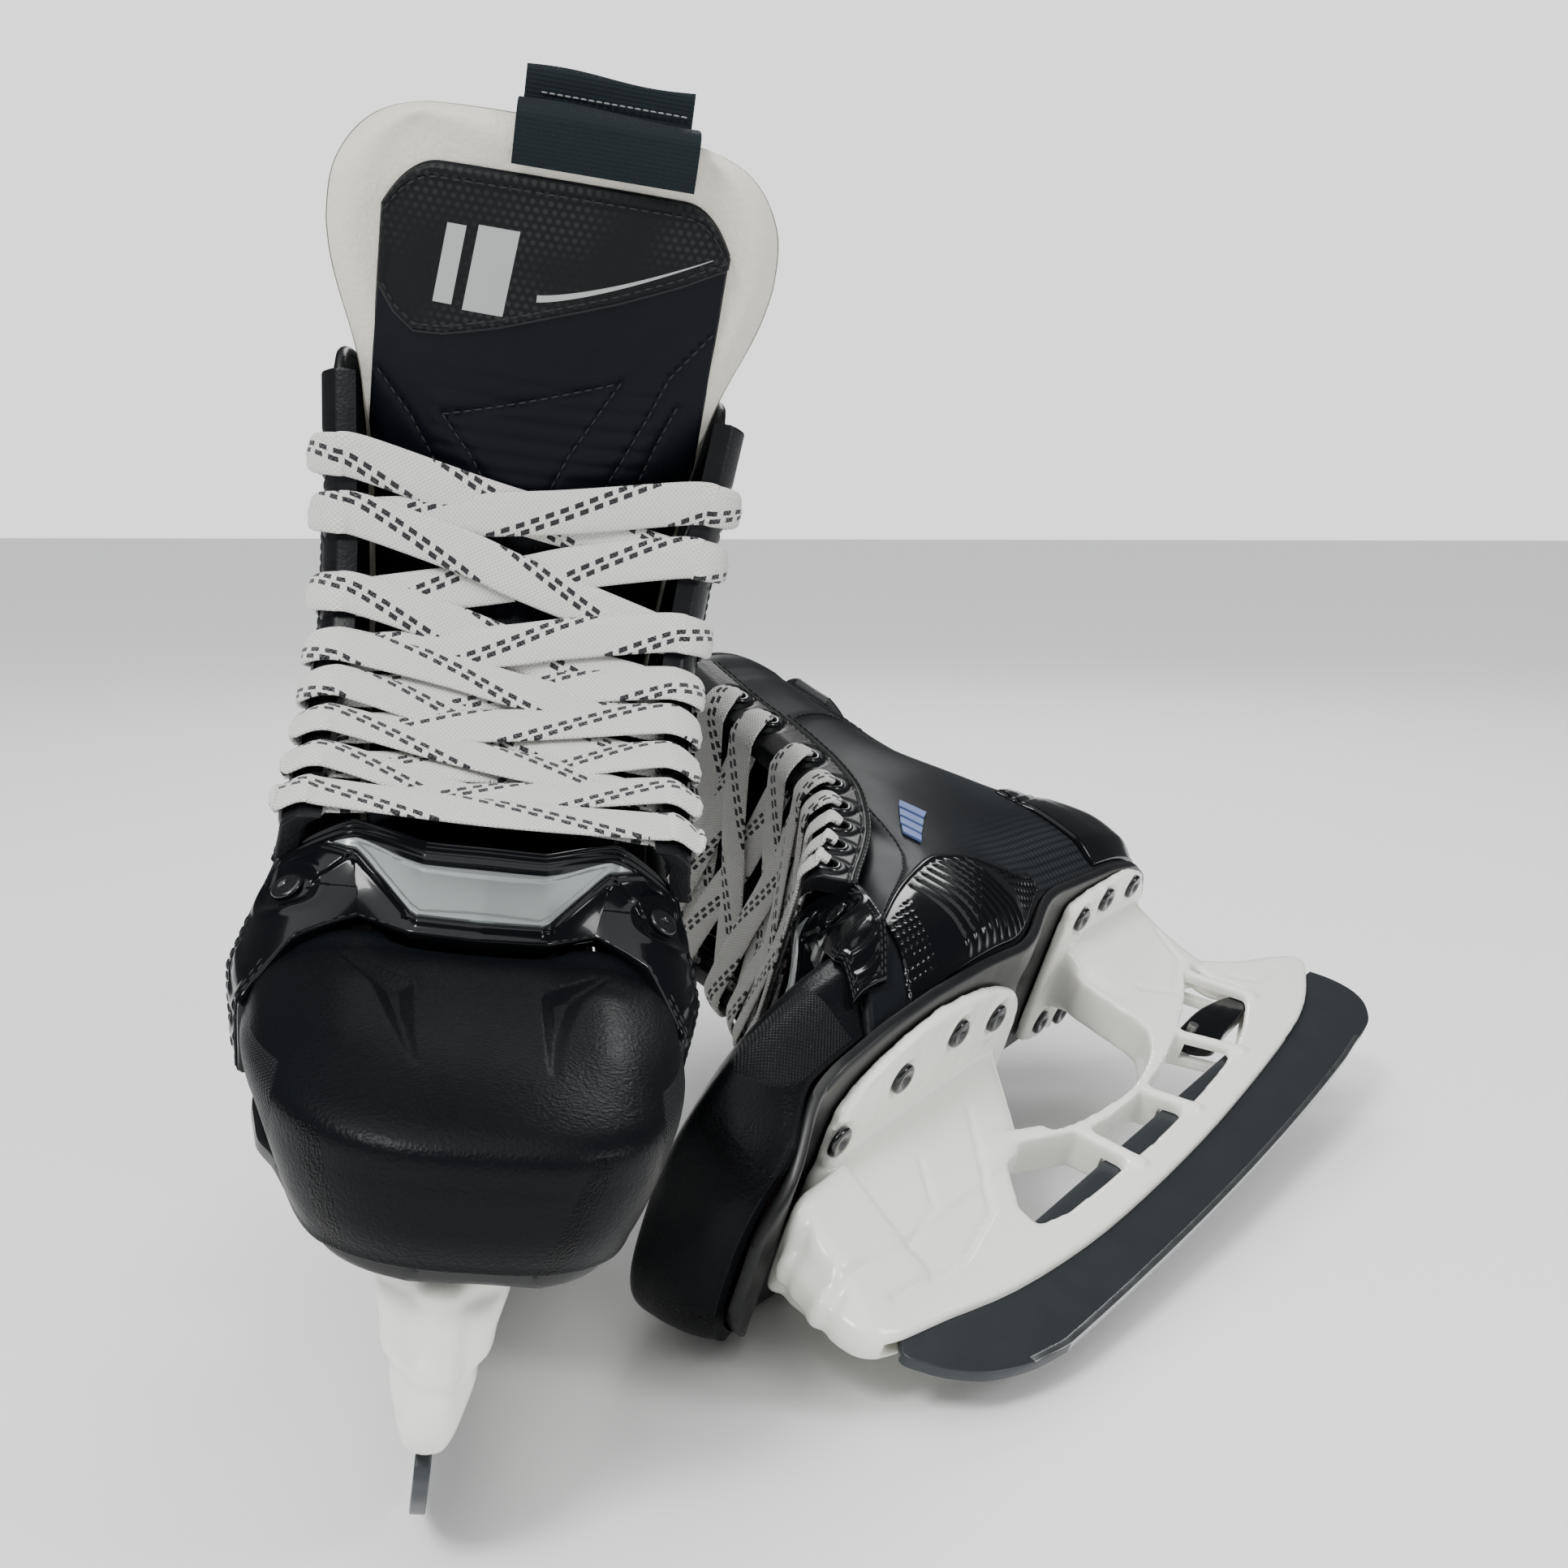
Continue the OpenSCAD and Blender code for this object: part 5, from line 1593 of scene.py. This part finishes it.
RAIL = [[139, 31], [117, 25], [95, 19.5], [65, 15.8], [33, 14.6], [-8, 15], [-49, 17],
        [-94, 20.5], [-118, 24.5], [-137, 31], [-145, 35], [-143, 41], [-118, 51], [-102, 60],
        [-97, 51], [-100, 40], [-64, 28.5], [-16, 24.3], [22, 23.6], [72, 27.5], [53, 49],
        [50, 62], [128, 64], [139, 52], [142, 43]]
ARCH = [[58, 54], [38, 47], [36, 43.5], [23.6, 40.4], [6, 38.6], [-9, 38.8], [-26, 42.4],
        [-37, 48], [-41, 54], [-50, 84], [-104, 84], [-100, 66], [-85, 57], [-63, 47.7],
        [-33, 39.5], [-8.5, 36.3], [8, 35.8], [25.8, 37.6], [48, 46], [62, 50]]
RIBS = [((27.5, 38), (24, 22)), ((-8, 37.5), (-17, 23)), ((-48, 44), (-62, 27)),
        ((-88, 58), (-99, 38))]
FRONT_FLANGE = [[14, 16], [20, 27], [36, 34.5], [55, 38], [75, 38.5], [95, 34], [106, 28],
                [110, 20], [110, -20], [106, -29], [95, -34], [75, -35.5], [55, -34.5],
                [36, -31], [20, -25], [14, -14]]
REAR_FLANGE = [[-45, 20], [-51, 27], [-70, 28], [-90, 27.5], [-103, 21], [-109, 10],
               [-109, -10], [-103, -21], [-90, -27], [-70, -27], [-51, -26], [-45, -20]]
FRONT_RIVETS = [[108, 17.5], [83, 25.5], [56, 28.5], [32, 24]]
REAR_RIVETS = [[-54.5, 20], [-71, 22.5], [-92, 21.5]]
SLOT = [[142, 20], [138.5, 30.5], [120, 34.5], [110, 30.5], [-96, 30.5], [-99, 40], [-119, 40],
        [-121, 33.5], [-146, 33.5], [-150, 0], [120, 0]]
POCKET = [[-48, 20], [-50, 49], [-82, 49], [-85, 56.5], [-99, 56.5], [-104, 20]]
SOLE_GAP = 0.35
FLANGE_T = 3.5


def ball_z(x):
    """Top of the holder's front flange, which follows the sole."""
    return 75 - SOLE_GAP - 0.019 * (np.asarray(x, float) - 25)


def heel_z(x):
    return 75 + 15.5 - SOLE_GAP + 0 * np.asarray(x, float)


def prism_data(outline, width):
    """Solid of an outline in x and z, by width about y = 0."""
    o = np.array(outline, float)
    return solid_data(*(np.insert(o, 1, y, axis=1) for y in (-width / 2, width / 2)))


def plate_data(outline, top):
    """Flange of an outline in x and y under a height that depends on x."""
    o = spline(outline, 4, closed=True)
    z = top(o[:, 0])
    return solid_data(np.column_stack([o, z]), np.column_stack([o, z - FLANGE_T]))


def power(value, exponent):
    return math.copysign(abs(value) ** exponent, value)


def tower_data(low, high, low_w, high_w, z0, z1, flare=1.7):
    """Loft of rounded rectangles that flares towards its top."""
    v = []
    levels, sides = 16, 44
    for i in range(levels + 1):
        k = i / levels
        w = low_w + (high_w - low_w) * k ** flare
        x0 = low[0] + (high[0] - low[0]) * k ** 0.8
        x1 = low[1] + (high[1] - low[1]) * k ** 1.2
        for j in range(sides):
            a = 2 * math.pi * j / sides
            v.append(((x0 + x1) / 2 + (x1 - x0) / 2 * power(math.cos(a), 0.3),
                      w / 2 * power(math.sin(a), 0.45), z0 + (z1 - z0) * k))
    return np.array(v), loft_faces(levels + 1, sides)


def plain_mesh(name, v, f):
    """An object at the origin from points in millimetres, for modelling only."""
    mesh = bpy.data.meshes.new(name)
    mesh.from_pydata((np.asarray(v, float) / 1000).tolist(), [], [tuple(map(int, q)) for q in f])
    mesh.update()
    piece = bpy.data.objects.new(name, mesh)
    bpy.context.scene.collection.objects.link(piece)
    return fix_normals(piece)


def vertex_values(piece, name):
    values = np.zeros(len(piece.data.vertices) * 3)
    piece.data.vertices.foreach_get(name, values)
    return values.reshape(-1, 3)


def melt(piece, iterations, group=""):
    m = piece.modifiers.new("melt", "SMOOTH")
    m.factor = 0.5
    m.iterations = iterations
    m.vertex_group = group
    apply_modifiers(piece)


def holder_mesh():
    """Vertices (mm) and faces of one holder."""
    parts = [
        prism_data(spline(RAIL, 3, True), 8.6),
        prism_data(spline(ARCH, 3, True), 13),
        tower_data([50, 140], [20, 112], 11, 25, 45, 73),
        tower_data([112, 140], [106, 131], 11, 29.5, 34, 66, 1.0),
        tower_data([-104, -43], [-106, -49], 13, 29, 58, 88),
        plate_data(FRONT_FLANGE, ball_z),
        plate_data(REAR_FLANGE, heel_z),
    ]
    half = 2.2
    for (high_x, high_z), (low_x, low_z) in RIBS:
        parts.append(prism_data([(high_x + half, high_z + 1), (high_x - half, high_z + 1),
                                 (low_x - half, low_z - 2), (low_x + half, low_z - 2)], 12))
    # the parts overlap, so a remesh at about 1 mm makes one moulded skin of them
    piece = plain_mesh("holder_raw", *joined(parts))
    m = piece.modifiers.new("skin", "REMESH")
    m.mode = "VOXEL"
    m.voxel_size = 0.0009
    m.adaptivity = 0
    melt(piece, 8)
    # the nose is one rounded body, so it is melted further
    nose = piece.vertex_groups.new(name="nose")
    for vertex in piece.data.vertices:
        if vertex.co.x > 0.112:
            nose.add([vertex.index], min(1.0, (vertex.co.x - 0.112) / 0.014), "REPLACE")
    melt(piece, 45, "nose")
    p = vertex_values(piece, "co") * 1000
    p = p + vertex_values(piece, "normal") * holder_relief(p)[:, None]
    piece.data.vertices.foreach_set("co", (p / 1000).ravel())
    piece.data.update()
    cut(piece, plain_mesh("slot", *prism_data(SLOT, 3.5)), "MANIFOLD")
    cut(piece, plain_mesh("pocket", *prism_data(POCKET, 5.6)), "MANIFOLD")
    v = vertex_values(piece, "co") * 1000
    f = [tuple(polygon.vertices) for polygon in piece.data.polygons]
    bpy.data.objects.remove(piece, do_unlink=True)
    return v, f


def flange_rivets():
    """Place of each rivet under the flanges, at the flange's lower face."""
    for seats, top in ((FRONT_RIVETS, ball_z), (REAR_RIVETS, heel_z)):
        for x, y in seats:
            for side in (-1, 1):
                yield x, side * y, float(top(x)) - FLANGE_T


def holder_relief(p):
    """Grooves and ridges of the moulding, in millimetres along the normal."""
    x, y, z = p.T
    side = smooth01((np.abs(y) - 2.6) / 1.0)
    relief = np.zeros(len(p))
    for line, depth, wide in (
            ([(128, 36), (100, 33), (78, 38), (62, 52), (52, 62)], 0.9, 1.0),
            ([(134, 46), (112, 43), (92, 47), (82, 58)], 0.7, 0.9),
            ([(-60, 62), (-70, 54), (-92, 62), (-98, 74)], 0.6, 1.2),
            ([(-128, 40), (-112, 40), (-104, 48)], 0.5, 1.0)):
        relief -= depth * bell(line_distance(x, z, line), wide) * side
    # two ridges round the nose that sag in the middle
    nose = smooth01((x - 118) / 14)
    wave = z + 3 * (1 - np.minimum(1, np.abs(y) / 12) ** 2)
    for height in (50, 64):
        relief += nose * 0.55 * (bell(wave - height, 1.9) - bell(wave - height + 3.4, 1.7))
    # line where the halves of the mould met
    relief += 0.22 * bell(y, 0.45) * smooth01((x - 128) / 6)
    # dished seat round each rivet
    for rivet_x, rivet_y, rivet_z in flange_rivets():
        r = np.hypot(x - rivet_x, y - rivet_y)
        under = np.abs(z - rivet_z) < 1.2
        relief += under * (0.55 * bell(r - 6.4, 1.0) - 0.5 * smooth01((5.6 - r) / 0.8))
    # stepped notches along the flange edges
    flange = (np.abs(y) > 15) & (z > 68)
    return relief + flange * 0.08 * np.sin(x * 0.62)


RIVET_PROFILE = [(0.02, 0.45), (1.1, 0.5), (1.5, 0.9), (2.4, 1.25), (3.4, 1.2), (4.0, 0.85),
                 (4.2, 0.3), (4.15, -0.35), (0.02, -0.35)]


def make_holder(skate, data):
    piece = link("holder", *data, skate, M["nylon"], "boot", angle=38)
    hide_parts(skate.node("holder"))
    parts = [lathe_data(RIVET_PROFILE, (x, y, z - 0.15), (0, 0, -1), 30)
             for x, y, z in flange_rivets()]
    piece = fix_normals(link("holder_rivets", *joined(parts), skate, M["rivet"], "boot"))
    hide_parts(skate.node("holder_rivets"))


ROCKER = 2000.0
ROCKER_END = 100


def rocker(x):
    """Height of the runner's ground edge, an arc of a large circle."""
    return ROCKER - np.sqrt(ROCKER ** 2 - np.asarray(x, float) ** 2)


def bevelled(name, outline, width, bevel, skate, material, body, segments=3):
    """Outline in x and z made solid, with rounded long edges."""
    piece = fix_normals(link(name, *prism_data(outline, width), skate, material, None, smooth=False))
    m = piece.modifiers.new("bevel", "BEVEL")
    m.width = bevel / 1000
    m.segments = segments
    m.limit_method = "ANGLE"
    m.angle_limit = math.radians(50)
    apply_modifiers(piece)
    piece.data.polygons.foreach_set("use_smooth", [True] * len(piece.data.polygons))
    piece.data.set_sharp_from_angle(angle=math.radians(35))
    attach(piece, skate.node(body))
    return piece


def make_runner(skate):
    end_z = float(rocker(ROCKER_END))
    toe = spline([[128, 32.5], [135.5, 27], [133.5, 21], [129.5, 15.5], [123, 10],
                  [112.5, 5.3], [ROCKER_END, end_z]], 6)[6:-1]
    ground = [(x, float(rocker(x))) for x in np.linspace(ROCKER_END, -ROCKER_END, 60)]
    heel = spline([[-ROCKER_END, end_z], [-112, 3.6], [-124, 4.4], [-133, 5.6], [-140, 8.3],
                   [-145, 11.5], [-148.2, 16], [-149, 21], [-148, 26.5], [-145.5, 32]], 5)[1:]
    back = [[-118, 32.2], [-115.5, 38], [-108, 38], [-106.5, 34.5], [-109, 34.5],
            [-109, 29.5], [120, 29.5], [128, 32.5]]
    outline = np.concatenate([toe, ground, heel, back])
    piece = bevelled("runner", outline, 3.0, 0.35, skate, M["steel"], "runner")
    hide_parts(skate.node("runner"))
    # bright strip along the ground edge
    x = np.linspace(112, -118, 90)
    beyond = np.interp(x, [-118, -112, -100, 100, 112], [4.0, 3.6, 2.5, 2.5, 5.2])
    arc = rocker(np.clip(x, -ROCKER_END, ROCKER_END))
    z = np.where(np.abs(x) <= ROCKER_END, arc, beyond)
    strip = np.concatenate([np.stack([x, z - 0.02], 1), np.stack([x, z + 1.7], 1)[::-1]])
    piece = bevelled("runner_edge", strip, 3.06, 0.15, skate, M["edge"], "runner", 2)


def make_trigger(skate):
    outline = spline([[-54, 38.8], [-54.2, 44.2], [-61, 45.4], [-78, 45.9], [-95.5, 42.8],
                      [-97.2, 38.3], [-90, 35.6], [-72, 34.6], [-62, 33.2], [-57.2, 35.2]],
                     4, True)
    piece = bevelled("trigger", outline, 5.0, 0.8, skate, M["gloss"], "trigger", 4)
    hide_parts(skate.node("trigger"))


def paint_kept(skate):
    """Materials of the pieces that keep their CAD shape."""
    for name, look in (("insole_board", "board"), ("toe_liner", "lining"),
                       ("trigger_pin", "pin"), ("trigger_spring", "pin")):
        for material_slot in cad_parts[skate.node(name)].material_slots:
            material_slot.material = M[look]


HOLDER = holder_mesh()
for skate in SKATES:
    for make in (make_shell, make_collar, make_heel_counter, make_side_panels, make_marks,
                 make_sole, make_footbed, make_cap, make_mask, make_badge, make_mask_stitches,
                 make_mask_rivets, make_eyestays, make_eyelets, make_guard, make_gusset,
                 make_felt, make_tongue_face, make_tongue_panel, make_tongue_stitches,
                 make_tongue_print, make_label, make_lace):
        make(skate)
    make_holder(skate, HOLDER)
    make_runner(skate)
    make_trigger(skate)
    paint_kept(skate)

# ---- Studio --------------------------------------------------------------------------------

FLOOR_HALF = 20
corners = [(-FLOOR_HALF, -FLOOR_HALF, 0), (FLOOR_HALF, -FLOOR_HALF, 0),
           (FLOOR_HALF, FLOOR_HALF, 0), (-FLOOR_HALF, FLOOR_HALF, 0)]
floor_mesh = bpy.data.meshes.new("floor")
floor_mesh.from_pydata(corners, [], [(0, 1, 2, 3)])
floor = bpy.data.objects.new("floor", floor_mesh)
floor.location.z = -0.0002
bpy.context.scene.collection.objects.link(floor)
ground = bpy.data.materials.new("floor")
ground.use_nodes = True
ground_node = ground.node_tree.nodes["Principled BSDF"]
ground_node.inputs["Base Color"].default_value = (0.93, 0.93, 0.93, 1)
ground_node.inputs["Roughness"].default_value = 0.7
floor_mesh.materials.append(ground)
floor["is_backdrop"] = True

world = bpy.data.worlds.new("studio")
world.use_nodes = True
tree = world.node_tree


def background(colour, strength):
    node = tree.nodes.new("ShaderNodeBackground")
    node.inputs["Color"].default_value = (*colour, 1)
    node.inputs["Strength"].default_value = strength
    return node.outputs[0]


def choose(is_so, yes, no):
    """The world that one kind of ray sees, and the one that the others see."""
    node = tree.nodes.new("ShaderNodeMixShader")
    tree.links.new(is_so, node.inputs[0])
    tree.links.new(no, node.inputs[1])
    tree.links.new(yes, node.inputs[2])
    return node.outputs[0]


# the camera sees a pale wall, surfaces are lit by a soft room, and reflections stay dim
rays = tree.nodes.new("ShaderNodeLightPath").outputs
room = background((0.95, 0.97, 1.0), 0.42)
reflected = background((0.95, 0.97, 1.0), 0.10)
wall = background((1, 1, 1), 1.7)
lit = choose(rays["Is Glossy Ray"], reflected, room)
tree.links.new(choose(rays["Is Camera Ray"], wall, lit), tree.nodes["World Output"].inputs[0])
bpy.context.scene.world = world

for name, place, size, power, aim in (
        ("key", (-0.75, -0.95, 1.25), 0.4, 20, (0, 0, 0.12)),
        ("fill", (1.2, -0.7, 0.8), 0.4, 9, (0, 0, 0.12)),
        ("back", (0.3, 1.2, 1.1), 0.5, 8, (0, 0, 0.15))):
    data = bpy.data.lights.new(name, "AREA")
    data.energy = power
    data.size = size
    lamp = bpy.data.objects.new(name, data)
    lamp.location = place
    lamp.rotation_euler = (Vector(aim) - Vector(place)).to_track_quat("-Z", "Y").to_euler()
    bpy.context.scene.collection.objects.link(lamp)

sky_data = bpy.data.lights.new("sky", "SUN")
sky_data.energy = 2.0
sky_data.angle = math.radians(70)
sky = bpy.data.objects.new("sky", sky_data)
sky.rotation_euler = (math.radians(14), math.radians(-10), 0)
bpy.context.scene.collection.objects.link(sky)

visual_box = [list(v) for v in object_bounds()]
({"cad": [[float(a) for a in v] for v in cad_box],
           "visual": [[float(a) for a in v] for v in visual_box]})
